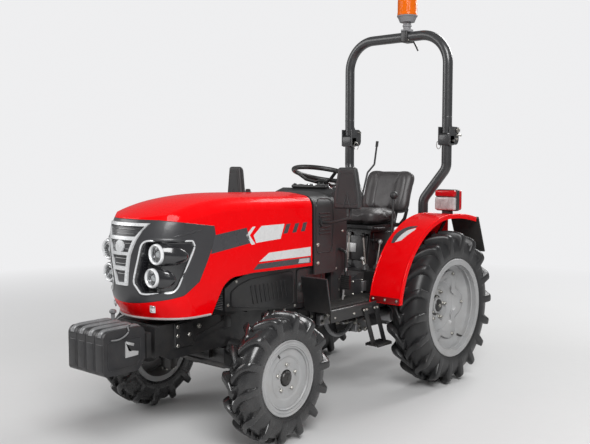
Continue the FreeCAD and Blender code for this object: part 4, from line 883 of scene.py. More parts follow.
def circle(centre, radius, count, axis=0, start=0.0):
    # points round a centre in the plane square to x, y or z
    a = start + roundAngles(count)
    flat = np.stack([np.cos(a) * radius, np.sin(a) * radius], 1)
    return np.asarray(centre, float) + np.insert(flat, axis, 0, axis=1)


# wheel fittings: each wheel's middle, and how far out of it the disc's face lies
wheels = {
    "front": {"x": 0.445, "face": 0.042},
    "rear": {"x": 0.48, "face": -0.048},
}


def makeFrontFittings():
    size = wheels["front"]
    for side, sign in bothHands:
        centre = np.array([size["x"], frontY, frontAxle[2]])
        face = centre + [size["face"], 0, 0]
        ax = (1, 0, 0)
        body = f"front_wheel_{side}"
        # the disc's raised lands and the rim's stepped bands, laid over the plain dish
        steps = [turned([(0.101, 0.0005), (0.099, 0.0035), (0.094, 0.0048), (0.048, 0.0048),
            (0.0405, 0.004), (0.0395, -0.004), (0.101, -0.004)], face, ax, 72, True),
            turned([(0.1365, 0.019), (0.1385, 0.0215), (0.142, 0.0225), (0.145, 0.0205), (0.1462, 0.01),
            (0.1462, -0.002), (0.136, -0.002)], face, ax, 72, True),
            turned([(0.1525, 0.0235), (0.156, 0.0252), (0.1595, 0.0235), (0.163, 0.0222), (0.1665, 0.024),
            (0.17, 0.0262), (0.1738, 0.0244), (0.1745, 0.02), (0.17, 0.017), (0.152, 0.017)], face, ax,
            72, True)]
        addPiece(f"frontRimLands_{side}", onSide(steps, sign), "rimPaint", body, crease=28)
        cap = [turned([(0, 0.02), (0.014, 0.0195), (0.024, 0.0175), (0.031, 0.012), (0.034, 0.004),
            (0.0345, -0.012), (0, -0.012)], face, ax, 48),
            turned([(0.0, 0.0235), (0.0045, 0.0232), (0.006, 0.021), (0.006, 0.017), (0, 0.017)], face,
            ax, 16)]
        addPiece(f"frontHubCap_{side}", onSide(cap, sign), "chassisBlack", body)
        bolts = boltHeads(circle(face + [0.0045, 0, 0], 0.062, 5, 0, 0.3), (1, 0, 0), 0.0085, 0.011)
        small = boltHeads(circle(face + [0.0045, 0, 0], 0.082, 5, 0, 0.93), (1, 0, 0), 0.0032, 0.002, 12)
        valve = tube([face + [0.004, -0.058, 0.118], face + [0.012, -0.056, 0.111], face +
            [0.017, -0.052, 0.102]], [0.0055, 0.0048, 0.0042], 12)
        addPiece(f"frontNuts_{side}", onSide([bolts], sign), "zinc", body)
        addPiece(f"frontValve_{side}", onSide([small, valve], sign), "hoseRubber", body)


def makeRearFittings():
    size = wheels["rear"]
    for side, sign in bothHands:
        centre = np.array([size["x"], rearY, rearAxle[2]])
        face = centre + [size["face"], 0, 0]
        body = f"rear_wheel_{side}"
        ax = (1, 0, 0)
        # a disc whose edge stands out in six lobes, welded to lugs on the rim
        turn = roundAngles(180)
        lobe = (0.5 + 0.5 * np.cos(6 * turn)) ** 0.7
        edge = 0.176 + 0.05 * lobe
        # radius (a share of the lobed edge where the last value is 1), distance out, kind
        rows = [(0.06, 0.0105, 0), (0.1, 0.0105, 0), (0.118, 0.012, 0), (0.136, 0.024, 0),
            (0.152, 0.037, 0), (0.78, 0.0425, 1), (0.9, 0.048, 1), (0.965, 0.052, 1), (1.0, 0.0505, 1),
            (1.0, 0.042, 1), (0.97, 0.033, 1), (0.8, 0.025, 1), (0.14, 0.018, 0), (0.06, 0.006, 0)]
        share, along, kind = np.array(rows).T[..., None]
        ring = np.where(kind > 0, share * edge, share)
        lift = along + 0.012 * lobe * kind
        points = np.stack([face[0] + lift + 0 * turn, face[1] + ring * np.cos(turn), face[2] + ring *
            np.sin(turn)], -1)
        disc = (points, gridFaces(len(rows), len(turn), wrapRows=True, wrapCols=True))
        bands = [turned([(0.2425, 0.02), (0.2425, 0.03), (0.248, 0.034), (0.249, 0.05), (0.249, 0.01)],
            centre, ax, 96, True),
            turned([(0.2485, 0.052), (0.244, 0.055), (0.2435, 0.062), (0.249, 0.066), (0.25, 0.06)],
            centre, ax, 96, True),
            turned([(0.256, 0.0855), (0.26, 0.088), (0.264, 0.089), (0.268, 0.09), (0.2735, 0.0925),
            (0.279, 0.0935), (0.2825, 0.0905), (0.2815, 0.086), (0.274, 0.084), (0.256, 0.0835)], centre,
            ax, 96, True)]
        shapes = [disc] + bands
        addPiece(f"rearRimLands_{side}", onSide(shapes, sign), "rimPaint", body, crease=28)
        hub = [turned([(0, 0.04), (0.02, 0.0395), (0.03, 0.037), (0.037, 0.03), (0.039, 0.02),
            (0.043, 0.016), (0.057, 0.0145), (0.06, 0.011), (0.06, 0.004), (0, 0.004)], face, ax, 48)]
        addPiece(f"rearHubCap_{side}", onSide(hub, sign), "chassisBlack", body)
        nuts = [boltHeads(circle(face + [0.0105, 0, 0], 0.084, 6), (1, 0, 0), 0.0105, 0.016),
            boltHeads(circle(face + [0.0105, 0, 0], 0.084, 6), (1, 0, 0), 0.006, 0.024, 12),
            boltHeads(circle(face + [0.039, 0, 0], 0.0, 1), [(1, 0, 0)], 0.009, 0.006),
            boltHeads(circle(face + [0.016, 0, 0], 0.05, 8), (1, 0, 0), 0.0045, 0.005)]
        addPiece(f"rearNuts_{side}", onSide(nuts, sign), "zinc", body)
        spot = centre + [0.03, 0.145, -0.19]
        valve = [turned([(0, 0.003), (0.006, 0.002), (0.008, 0), (0.008, -0.004), (0, -0.004)], spot, ax,
            16),
            tube([spot, spot + [0.022, 0.004, -0.005], spot + [0.034, 0.008, -0.009]],
            [0.0055, 0.005, 0.004], 12)]
        lugs = boltHeads(circle(face + [0.0625, 0, 0], 0.205, 6), (1, 0, 0), 0.0075, 0.009)
        addPiece(f"rearValve_{side}", onSide(valve, sign), "hoseRubber", body)
        addPiece(f"rearLugBolts_{side}", onSide([lugs], sign), "zinc", body)


makeFrontFittings()
makeRearFittings()
print("wheel fittings done")


# tail lamps: a dark case, a lens in two colours in front, a red one behind
def makeTailLamps():
    high = cornersOf("tail_lamps")[1]
    x0, x1 = 0.388, 0.528
    y0, y1 = behind(60), behind(132)
    z0, z1 = high[2] - 0.125, high[2]
    mid = np.array([(x0 + x1) / 2, (y0 + y1) / 2, (z0 + z1) / 2])
    case = [roundBox(mid, (x1 - x0, 0.046, z1 - z0), 0.012, 5),
        roundBox((mid[0] - 0.002, mid[1], z0 - 0.008), (0.052, 0.044, 0.03), 0.005, 3)]
    foot = addPiece("lampCases", bothSides(case), "blackPlastic")
    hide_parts("tail_lamps")
    cut = z0 + (z1 - z0) * 0.66
    clear = [roundBox((mid[0], y0 + 0.01, (z0 + cut) / 2 + 0.002),
        (x1 - x0 - 0.008, 0.03, cut - z0 - 0.006), 0.01, 5)]
    red = [roundBox((mid[0], y0 + 0.01, (cut + z1) / 2 - 0.001),
        (x1 - x0 - 0.008, 0.03, z1 - cut - 0.006), 0.01, 5),
        roundBox((mid[0] + 0.004, y1 - 0.012, mid[2]), (x1 - x0 - 0.002, 0.032, z1 - z0 - 0.008), 0.012,
        5)]
    ribs = []
    for k in range(7):
        x = x0 + 0.016 + k * (x1 - x0 - 0.032) / 6
        ribs.append(roundBox((x, y0 - 0.0055, (z0 + cut) / 2), (0.004, 0.004, cut - z0 - 0.024), 0.0018,
            2))
    addPiece("lampClear", bothSides(clear + ribs), "tailClear")
    addPiece("lampRed", bothSides(red), "redGlass")
    addPiece("lampScrews", bothSides([boltHeads([(x0 + 0.012, y1 + 0.003, z1 - 0.014),
        (x1 - 0.008, y1 + 0.003, z0 + 0.016)], (0, 1, 0), 0.0035, 0.002, 12)]), "zinc")


makeTailLamps()


# beacon: clamp lever, grey collar kept from the frame, ribbed amber dome
def makeBeacon():
    low, high = cornersOf("beacon_lens")
    centre = np.array([(low[0] + high[0]) / 2, (low[1] + high[1]) / 2, 0.0])
    tall = high[2] - low[2]
    turn = roundAngles(192)
    flute = 0.0011 * (np.cos(32 * turn) > 0)
    # radius, share of the height, how deep the flutes are cut
    rows = [(0.0, 1.0, 0), (0.022, 0.998, 0), (0.037, 0.985, 0), (0.047, 0.945, 0.3), (0.0545, 0.87, 1),
        (0.0585, 0.76, 1), (0.06, 0.6, 1), (0.06, 0.56, 0), (0.06, 0.2, 1), (0.06, 0.14, 0.2),
        (0.0615, 0.12, 0), (0.0615, 0.015, 0), (0.06, 0.0, 0), (0.05, 0.0, 0), (0.05, 0.14, 0),
        (0.052, 0.56, 0), (0.05, 0.76, 0), (0.04, 0.9, 0), (0.0, 0.955, 0)]
    radius, share, depth = np.array(rows).T[..., None]
    r = radius - flute * depth
    z = low[2] + share * tall + 0 * turn
    points = np.stack([centre[0] + r * np.cos(turn), centre[1] + r * np.sin(turn), z], -1)
    lens = addPiece("beaconDome", (points, gridFaces(len(rows), len(turn), wrapCols=True)), "amberGlass",
        "roll_hoop")
    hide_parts("beacon_lens")
    inside = [turned([(0, 0.07), (0.012, 0.069), (0.018, 0.06), (0.018, 0.03), (0.03, 0.02),
        (0.044, 0.006), (0.046, 0.001), (0, 0.001)], centre + [0, 0, low[2]], (0, 0, 1), 32)]
    addPiece("beaconInside", inside, "lampLens", "roll_hoop")
    post = cornersOf("beacon_base")[0][2]
    rings = [turned([(0.062, -0.008), (0.0635, -0.004), (0.0635, -0.0008), (0.058, -0.0008),
        (0.058, -0.008)], centre + [0, 0, low[2]], (0, 0, 1), 64, True),
        turned([(0.024, 0.0), (0.028, 0.002), (0.028, 0.012), (0.024, 0.014)], centre +
        [0, 0, post + 0.03], (0, 0, 1), 40, True)]
    addPiece("beaconRings", rings, "beaconGrey", "roll_hoop")
    grip = centre + [0, 0, post]
    clamp = [roundBox(grip + [0, 0, -0.03], (0.046, 0.076, 0.072), 0.006, 3),
        tube(smoothPath([grip + [0.0, 0.04, -0.035], grip + [0.01, 0.055, -0.05], grip +
        [0.03, 0.058, -0.085], grip + [0.044, 0.058, -0.112]], 20), 0.0055, 10)]
    addPiece("beaconClamp", clamp, "chassisBlack", "roll_hoop")
    addPiece("beaconClampBolts", [boltHeads([grip + [0.024, 0.022, -0.052], grip +
        [0.024, -0.022, -0.052]], (1, 0, 0), 0.006, 0.005)], "zinc", "roll_hoop")


makeBeacon()


barX = 0.366                  # the roll bar's legs stand this far from the middle


# roll bar joint: collars, cross pins with lynch clips
def makeBarJoints():
    y = behind(232)
    for side, sign in bothHands:
        x = sign * barX
        sleeve = [roundBox((x, y - 0.0035, 1.4085), (0.082, 0.066, 0.07), 0.012, 4)]
        addPiece(f"barSleeve_{side}", sleeve, "barBlack")
        pin = [tube([(x - 0.05, y - 0.002, 1.402), (x + 0.052, y - 0.002, 1.402)], 0.007, 14),
            tube([(x - 0.052, y + 0.05, 1.466), (x + 0.052, y + 0.05, 1.466)], 0.0085, 16),
            boltHeads([(x + sign * 0.047, y + 0.05, 1.466)], [(sign, 0, 0)], 0.014, 0.009),
            boltHeads([(x + sign * 0.042, y + 0.046, 1.412)], [(sign, 0, 0)], 0.008, 0.006)]
        loop = circle((x - sign * 0.055, y - 0.002, 1.378), 0.024, 40, 0)
        clip = closedTube(loop, 0.0022, 8, up=(1, 0, 0))
        addPiece(f"barPins_{side}", pin + [clip], "zinc")
        lever = [tube(smoothPath([(x + sign * 0.045, y + 0.03, 1.436),
            (x + sign * 0.052, y + 0.055, 1.436), (x + sign * 0.052, y + 0.078, 1.434)], 12), 0.006, 10)]
        addPiece(f"barCatch_{side}", lever, "zinc")
    # welded seams where the hoop's bends begin
    seams = [turned([(0.0298, -0.004), (0.0312, 0), (0.0298, 0.004)], (sign * barX, y, 1.545), (0, 0, 1),
        40) for sign in (1, -1)]
    addPiece("hoopSeams", seams, "barBlack", "roll_hoop")


makeBarJoints()
print("lamps, beacon and bar done")


# mirrors: a glass set in the rear of each head, a ball joint and a moulded recess
def makeMirrors():
    spin = turnedBy((0, 0, 1), 13)
    centre = np.array([0.4, ahead(800), 1.143])
    flank = np.array([(-0.042, 0.092), (0.042, 0.092), (0.0615, -0.04), (0.063, -0.091), (-0.063, -0.091),
        (-0.0615, -0.04)])
    loop = roundCorners(flank, 0.16, 6)
    glass = prism(loop, 0.0165, 0.0185, axis=1)
    placed = (np.asarray(glass[0]) @ spin.T + centre, glass[1])
    addPiece("mirrorGlass", bothSides([placed]), "mirrorSilver")
    line = np.insert(loop * 1.045, 1, 0.0165, axis=1) @ spin.T + centre
    rim = closedTube(line, 0.004, 8, up=(0, 1, 0))
    fin = [(-0.018, -0.092), (-0.006, -0.05), (0.0, -0.022), (0.006, -0.05), (0.018, -0.092)]
    fins = np.insert(np.array(fin), 1, -0.0172, axis=1) @ spin.T + centre
    bead = tube(fins, 0.0032, 8)
    edge = np.insert(loop * 0.86, 1, -0.017, axis=1) @ spin.T + centre
    back = closedTube(edge, 0.0022, 8, up=(0, 1, 0))
    ball = turned([(0, -0.02), (0.012, -0.017), (0.019, -0.008), (0.02, 0.0), (0.017, 0.01),
        (0.011, 0.017), (0, 0.019)], centre + [0, 0.022, -0.062], (0, 0, 1), 28)
    addPiece("mirrorTrim", bothSides([rim, bead, back, ball]), "blackPlastic")


makeMirrors()


# console: seams, bolts, a dial cluster, switches and side grilles
def makeConsole():
    shapes, metal = [], []
    wall = trianglesOf("dash_console")

    def onWall(points, lift=0.0015):
        starts = np.stack([np.full(len(points), 0.35), [p[0] for p in points], [p[1] for p in points]],
            -1)
        hit, ok = castOnto(wall, starts, [(-1, 0, 0)])
        return hit[ok] + [lift, 0, 0]

    panel = [(ahead(838), 0.8), (ahead(838), 1.05), (ahead(800), 1.085), (ahead(700), 1.08), (ahead(690),
        0.985), (ahead(706), 0.8)]
    loop = roundCorners(panel, 0.2, 6)
    line = onWall(list(loop), 0.0006)
    if len(line) > 20:
        shapes.append(closedTube(line, 0.0026, 8))
    for dots, size in (([(ahead(825), 0.844), (ahead(825), 0.748)], 0.0085), ([(ahead(640), 1.05),
            (ahead(640), 0.7), (ahead(580), 0.9)], 0.006)):
        hit = onWall(dots, 0.0)
        metal.append(boltHeads(hit, (1, 0, 0), size, size * 0.8))
    slots = []
    for k in range(7):
        z = 0.9 + 0.018 * k
        line = onWall([(ahead(812), z), (ahead(780), z), (ahead(745), z), (ahead(722), z)], 0.0004)
        if len(line) == 4:
            slots.append(tube(line, 0.0038, 8))
    addPiece("consoleSeams", bothSides(shapes + slots), "panelBlack")
    addPiece("consoleBolts", bothSides(metal), "zinc")


makeConsole()


def makeDash():
    # the dial cluster leans with the console's sloped rear face under the wheel
    wall = trianglesOf("dash_console")
    spots = np.array([[x, ahead(590), 1.4] for x in (-0.085, 0.0, 0.085)])
    hit = castOnto(wall, spots, [(0, 0, -1)])[0]
    probe = castOnto(wall, spots + [0, 0.01, 0], [(0, 0, -1)])[0]
    slope = probe[1] - hit[1]
    up = unit([np.cross([1, 0, 0], slope)])[0]
    up = up if up[2] > 0 else -up
    across = np.array([1.0, 0, 0])
    along = np.cross(up, across)
    frameTurn = np.stack([across, along, up], 1)
    middle = hit[1]
    board = [roundBox(middle + up * 0.006, (0.25, 0.105, 0.02), 0.01, 4, turnBy=frameTurn)]
    addPiece("dashBoard", board, "panelBlack")
    rims, faces, needles = [], [], []
    for x, r in ((-0.078, 0.03), (0.0, 0.041), (0.078, 0.03)):
        spot = middle + across * x + up * 0.016
        rims.append(turned([(r * 0.92, 0.0), (r * 0.94, 0.006), (r, 0.0075), (r * 1.06, 0.005),
            (r * 1.08, 0.0), (r * 1.0, -0.002)], spot, up, 40, True))
        faces.append(turned([(0, 0.0012), (r * 0.93, 0.0012), (r * 0.93, -0.002), (0, -0.002)], spot, up,
            40))
        needles.append(tube([spot + up * 0.003, spot + up * 0.003 + along * r * 0.6 + across * r * 0.35],
            [0.0018, 0.0007], 6))
        needles.append(turned([(0, 0.005), (0.004, 0.004), (0.004, 0.001), (0, 0.001)], spot, up, 16))
        marks = circle((0, 0, 0), r * 0.78, 12, 2)
        places = spot + marks[:, :1] * across + marks[:, 1:2] * along + up * 0.0012
        needles.append(boltHeads(places, np.tile(up, (12, 1)), r * 0.035, 0.0006, 4))
    addPiece("dialRims", rims, "brightChrome")
    addPiece("dialFaces", faces, "darkFilm")
    addPiece("dialNeedles", needles, "whiteFilm")
    keys = []
    for x in (-0.115, 0.115):
        spot = middle + across * x - along * 0.03 + up * 0.014
        keys.append(turned([(0, 0.012), (0.008, 0.011), (0.011, 0.006), (0.0125, 0.0), (0.0125, -0.004),
            (0, -0.004)], spot, up, 24))
    addPiece("dashSwitches", keys, "blackPlastic")


makeDash()
print("console done")

def at(points):
    # millimetres from the rear axle, heights from the ground, to metres in the frame
    return np.asarray(points, float) / 1000 + [0, rearY, 0]


# seat pads: x is across, v runs along the pad and the third number is its thickness
seatPads = {
    "cushion": {"half": 0.176, "length": 0.3, "thick": 0.062, "start": 0.008, "waist": 0.02, "crown":
        0.01, "roll": 0.01, "square": 5.0, "cap": 0.011, "low": 0.012},
    "back": {"half": 0.179, "length": 0.282, "thick": 0.054, "start": 0.001, "waist": 0.022, "crown":
        0.006, "roll": 0.014, "square": 5.6, "cap": 0.01, "low": 0.01},
}


def padForm(size):
    # a flattened tube rounded off at both ends: width and thickness shrink together there,
    # the sides pull in midway, the face is crowned and has a raised roll along each side
    v = (1 - np.cos(np.linspace(0, np.pi, 70))) / 2
    turn = roundAngles(120)
    ends = np.clip(1 - np.abs(2 * v - 1) ** size["square"], 0, 1) ** (1 / size["square"])
    wide = size["half"] * (1 - size["waist"] * np.sin(np.pi * v)) * ends
    cosine, sine = np.cos(turn), np.sin(turn)
    x = wide[:, None] * (np.sign(cosine) * np.abs(cosine) ** 0.36)[None]
    level = ends[:, None] * (np.sign(sine) * np.abs(sine) ** 0.5)[None]
    face = np.clip(level, 0, 1)
    roll = ease(0.05, 0.105, np.abs(x)) * size["roll"]
    crown = size["crown"] * np.sin(np.pi * v)[:, None] * (1 - (x / size["half"]) ** 2)
    h = size["low"] + size["thick"] / 2 * (1 + level) + face * (roll + crown)
    along = size["start"] + v[:, None] * size["length"] + 0 * x
    return np.stack([x, along, h], -1), gridFaces(len(v), len(turn), wrapCols=True)


def readPoints(mesh, what="co"):
    rows = np.empty(len(mesh.vertices) * 3)
    if what == "co":
        mesh.vertices.foreach_get("co", rows)
    else:
        mesh.vertex_normals.foreach_get("vector", rows)
    return rows.reshape(-1, 3)


def bake(piece):
    # the piece's modifiers are worked out and become its own mesh
    graph = bpy.context.evaluated_depsgraph_get()
    mesh = bpy.data.meshes.new_from_object(piece.evaluated_get(graph))
    piece.modifiers.clear()
    piece.data = mesh


def swell(piece, cap):
    # the closed skin is filled with pressure and nothing weighs on it; no point may move
    # further than the cap
    before = readPoints(piece.data)
    scene = bpy.context.scene
    cloth = piece.modifiers.new("swell", "CLOTH")
    cloth.settings.use_pressure = True
    cloth.settings.uniform_pressure_force = 4.0
    cloth.settings.effector_weights.gravity = 0
    cloth.collision_settings.use_collision = False
    cloth.point_cache.frame_start = 1
    cloth.point_cache.frame_end = 20
    for step in range(1, 21):
        scene.frame_set(step)
    graph = bpy.context.evaluated_depsgraph_get()
    soft = piece.evaluated_get(graph)
    move = readPoints(soft.data) - before
    piece.modifiers.clear()
    scene.frame_set(1)
    far = np.linalg.norm(move, axis=1, keepdims=True)
    move *= np.minimum(1, cap / np.maximum(far, 1e-9))
    piece.data.vertices.foreach_set("co", (before + move).ravel())
    piece.data.update()


def makePad(name, node, seams, place):
    size = seatPads[name]
    piece = addPiece(f"seat_{name}Pad", padForm(size), "seatVinyl")
    remesh = piece.modifiers.new("even", "REMESH")
    remesh.mode = "VOXEL"
    remesh.voxel_size = 0.0052
    bake(piece)
    swell(piece, size["cap"])
    finer = piece.modifiers.new("finer", "SUBSURF")
    finer.levels = finer.render_levels = 1
    bake(piece)
    # seams: a channel sunk into the face along each line, a soft dip either side of it
    points, normal = readPoints(piece.data), readPoints(piece.data, "normal")
    deep = np.zeros(len(points))
    for line, depth in seams:
        line = np.asarray(line, float)
        a, b = line[:-1], line[1:]
        p = points[:, None, :2]
        t = np.clip(((p - a) * (b - a)).sum(-1) / ((b - a) ** 2).sum(-1), 0, 1)
        gap = np.linalg.norm(p - a - t[..., None] * (b - a), axis=-1).min(1)
        cut = depth * (0.65 * np.exp(-(gap / 0.003) ** 2) + 0.35 * np.exp(-(gap / 0.011) ** 2))
        deep = np.maximum(deep, cut)
    deep *= ease(0.15, 0.6, normal[:, 2])
    points = points - normal * deep[:, None]
    piece.data.vertices.foreach_set("co", place(points).astype(np.float32).ravel())
    piece.data.update()
    piece.data.materials.clear()
    piece.data.materials.append(looks["seatVinyl"])
    piece.data.polygons.foreach_set("use_smooth", np.ones(len(piece.data.polygons), bool))
    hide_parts(node)


def onCushion(p):
    return np.stack([p[:, 0], ahead(270) + p[:, 1], 0.905 + p[:, 2]], 1)


def onBack(p):
    y, z = 0.076 - p[:, 2], p[:, 1]
    a = math.radians(20)
    return np.stack([p[:, 0],
        behind(66) + y * math.cos(a) + z * math.sin(a), 0.967 - y * math.sin(a) + z * math.cos(a)], 1)


def makeSeat():
    s = np.linspace(0, 1, 14)
    seams = []
    for sign in (1, -1):
        x = sign * (0.06 + 0.04 * ease(0.62, 1.0, s) + 0.006 * np.sin(np.pi * s))
        seams.append((np.stack([x, 0.004 + 0.274 * s], 1), 0.0052))
        x = sign * (0.13 + 0.01 * np.sin(np.pi * s) - 0.016 * ease(0.8, 1.0, s))
        seams.append((np.stack([x, 0.03 + 0.235 * s], 1), 0.0024))
    makePad("back", "seat_back", seams, onBack)
    seams = []
    for sign in (1, -1):
        x = sign * (0.078 + 0.014 * np.sin(np.pi * s))
        seams.append((np.stack([x, 0.03 + 0.275 * s], 1), 0.0065))
    x = np.linspace(-0.082, 0.082, 12)
    seams.append((np.stack([x, 0.06 - 0.016 * np.cos(x * 19)], 1), 0.0055))
    seams.append((np.stack([x, 0.25 + 0.0 * x], 1), 0.0055))
    makePad("cushion", "seat_cushion", seams, onCushion)
    # shell behind the back rest, slides, hinges and the slide's handle
    shell = [roundBox((0, behind(66) + 0.08, 1.08), (0.3, 0.014, 0.2), 0.006, 3,
        turnBy=turnedBy((1, 0, 0), -20)),
        roundBox((0.15, ahead(110), 0.893), (0.03, 0.3, 0.02), 0.004),
        roundBox((-0.15, ahead(110), 0.893), (0.03, 0.3, 0.02), 0.004)]
    addPiece("seatShell", shell, "blackPlastic")
    bits = []
    for sign in (1, -1):
        bits += [prism([(behind(10), 0.88), (behind(60), 0.88), (behind(106), 0.985), (behind(88), 1.004),
            (behind(52), 0.935), (behind(10), 0.908)], sign * 0.178 - 0.003, sign * 0.178 + 0.003),
            boltHeads([(sign * 0.1805, behind(78), 0.972), (sign * 0.1805, behind(30), 0.895)],
            (sign, 0, 0), 0.008, 0.005)]
    bits.append(tube(smoothPath(at([(176, -150, 893), (206, -190, 893), (210, -250, 893),
        (209, -300, 896)]), 18), 0.005, 10))
    addPiece("seatHinges", bits, "chassisBlack")


makeSeat()
print("seat done")


# fenders: bead round the edge, foot strip in a darker red as painted shade, two-colour film, inner stays
def makeFenders():
    # radii about the rear axle: the crown's skin and the bead's line
    skin, bead = 0.535, 0.5325

    def onTop(x, y, lift=0.0008):
        x, y = np.asarray(x, float) / 1000, np.asarray(y, float) / 1000
        r = skin + lift
        z = rearAxle[2] + np.sqrt(np.maximum(r ** 2 - y ** 2, 0))
        return np.stack([x + 0 * z, rearY + y, z], -1)

    low = np.arcsin((0.5203 - rearAxle[2]) / skin)
    a = np.linspace(np.pi - low, math.radians(94), 70)
    arc = np.stack([np.cos(a) * bead, np.sin(a) * bead], 1)
    t = np.linspace(0, 1, 26)[1:, None]
    crest, end = arc[-1], np.array([0.29, 0.942 - rearAxle[2] - 0.0025])
    via = np.array([0.137, 0.5275 - 0.002])
    tail = ((1 - t) * (1 - 2 * t) * crest + 4 * t * (1 - t) * via + t * (2 * t - 1) * end)
    line = np.concatenate([arc, tail])
    path = np.stack([np.full(len(line), 0.5375), rearY + line[:, 0], rearAxle[2] + line[:, 1]], 1)
    inner = path * [0, 1, 1] + [0.3475, 0, 0]
    addPiece("fenderBeads", bothSides([tube(path, 0.0062, 12),
        tube(inner, 0.0045, 10)]), "redPaint")
    # the foot strip and its bracket are given a darker red than the fender: painted shade at the fender's
    # foot
    foot = [roundBox((0.445, ahead(527.5), 0.539), (0.186, 0.005, 0.034), 0.002, 2),
        roundBox((0.352, ahead(470), 0.528), (0.008, 0.11, 0.014), 0.002, 2)]
    addPiece("fenderFeet", bothSides(foot), "darkRed")
    bolts = boltHeads(at([(370, -530.5, 541), (445, -530.5, 541), (520, -530.5, 541)]), (0, -1, 0), 0.006,
        0.005)
    addPiece("fenderBolts", bothSides([bolts]), "zinc")
    # the marker film: a dark sheet with a light one beside it, from edge to edge in mm
    films = {
        "fenderDarkFilm": ("darkFilm", 6, [(374, -368), (367, -320), (385, -277), (419, -247),
            (465, -238)], [(393, -367), (403, -324), (425, -278), (446, -262), (461, -253)]),
        "fenderLightFilm": ("whiteFilm", 8, [(396, -362), (404, -326), (424, -284), (446, -268),
            (466, -258)], [(428, -350), (440, -326), (452, -303), (460, -288), (468, -272)]),
    }
    for name, (look, count, outer, inside) in films.items():
        share = np.linspace(0, 1, count)[None, :, None]
        grid = smoothPath(outer, 24)[:, None] * (1 - share) + smoothPath(inside, 24)[:, None] * share
        sheet = padGrid(onTop(grid[..., 0], grid[..., 1]), (0, 0.0004, -0.002))
        film = facing(sheet, gridFaces(*sheet.shape[:2]), (0, -0.5, 1))
        addPiece(name, bothSides([film]), look, welded=False)
    # folded stays under the rear end, and bolts through the skirt
    stay = [prism([(behind(60), 0.74), (behind(84), 0.74), (behind(250), 0.905), (behind(250), 0.925),
        (behind(232), 0.925)], 0.352, 0.357)]
    addPiece("fenderStays", bothSides(stay), "chassisBlack")
    inboard = boltHeads(at([(344.6, 40, 880), (344.6, 150, 880), (344.6, 150, 700), (344.6, -150, 700),
        (344.6, -230, 620)]), (-1, 0, 0), 0.007, 0.005)
    addPiece("skirtBolts", bothSides([inboard]), "zinc")
    straps = boltHeads(at([(385, 296, 938), (443, 296, 938), (501, 296, 938)]), (0, 0.3, 1), 0.006, 0.009)
    addPiece("flapBolts", bothSides([straps]), "zinc")


makeFenders()


# platform: ribbed mat, rounded edge, step bars, brackets' bolts
def makePlatform():
    mat = [roundBox((0.247, 0.075, 0.5225), (0.172, 0.56, 0.006), 0.0025, 2)]
    mat += [roundBox((0.247, y, 0.5262), (0.16, 0.007, 0.0045), 0.0018, 2) for y in
        np.linspace(-0.185, 0.335, 22)]
    mat += [roundBox((0.372, -0.045, 0.5225), (0.042, 0.33, 0.005), 0.002, 2)]
    addPiece("footMats", bothSides(mat), "flapRubber")
    edge = [tube([(0.3975, -0.232, 0.529), (0.3975, -0.06, 0.529), (0.3975, 0.158, 0.529)], 0.0042, 10),
        tube([(0.3975, -0.233, 0.529), (0.3975, -0.266, 0.69)], 0.0042, 10),
        tube([(0.234, -0.264, 0.6935), (0.3975, -0.264, 0.6935)], 0.0042, 10)]
    addPiece("platformBeads", bothSides(edge), "barBlack")
    bars = [roundBox((0.4, y, 0.304), (0.078, 0.009, 0.009), 0.002, 2) for y in
        np.linspace(0.128, 0.238, 6)]
    bars += [roundBox((x, 0.183, 0.297), (0.007, 0.132, 0.016), 0.0025, 2) for x in (0.3615, 0.4385)]
    addPiece("stepBars", bothSides(bars), "chassisBlack")
    places = [(0.409, 0.035, 0.5), (0.409, 0.06, 0.5), (0.409, 0.13, 0.5), (0.409, 0.155, 0.5)]
    side = boltHeads(places, (1, 0, 0), 0.006, 0.005)
    lower = boltHeads([(0.398, -0.2, 0.492), (0.4, -0.04, 0.492)], (1, 0, 0), 0.006, 0.005)
    addPiece("platformBolts", bothSides([side, lower]), "zinc")


makePlatform()
print("fenders and platform done")


railFace = 0.1405            # outer faces of the front frame's rails
coverFace = 0.2055           # outer faces of the engine's side covers
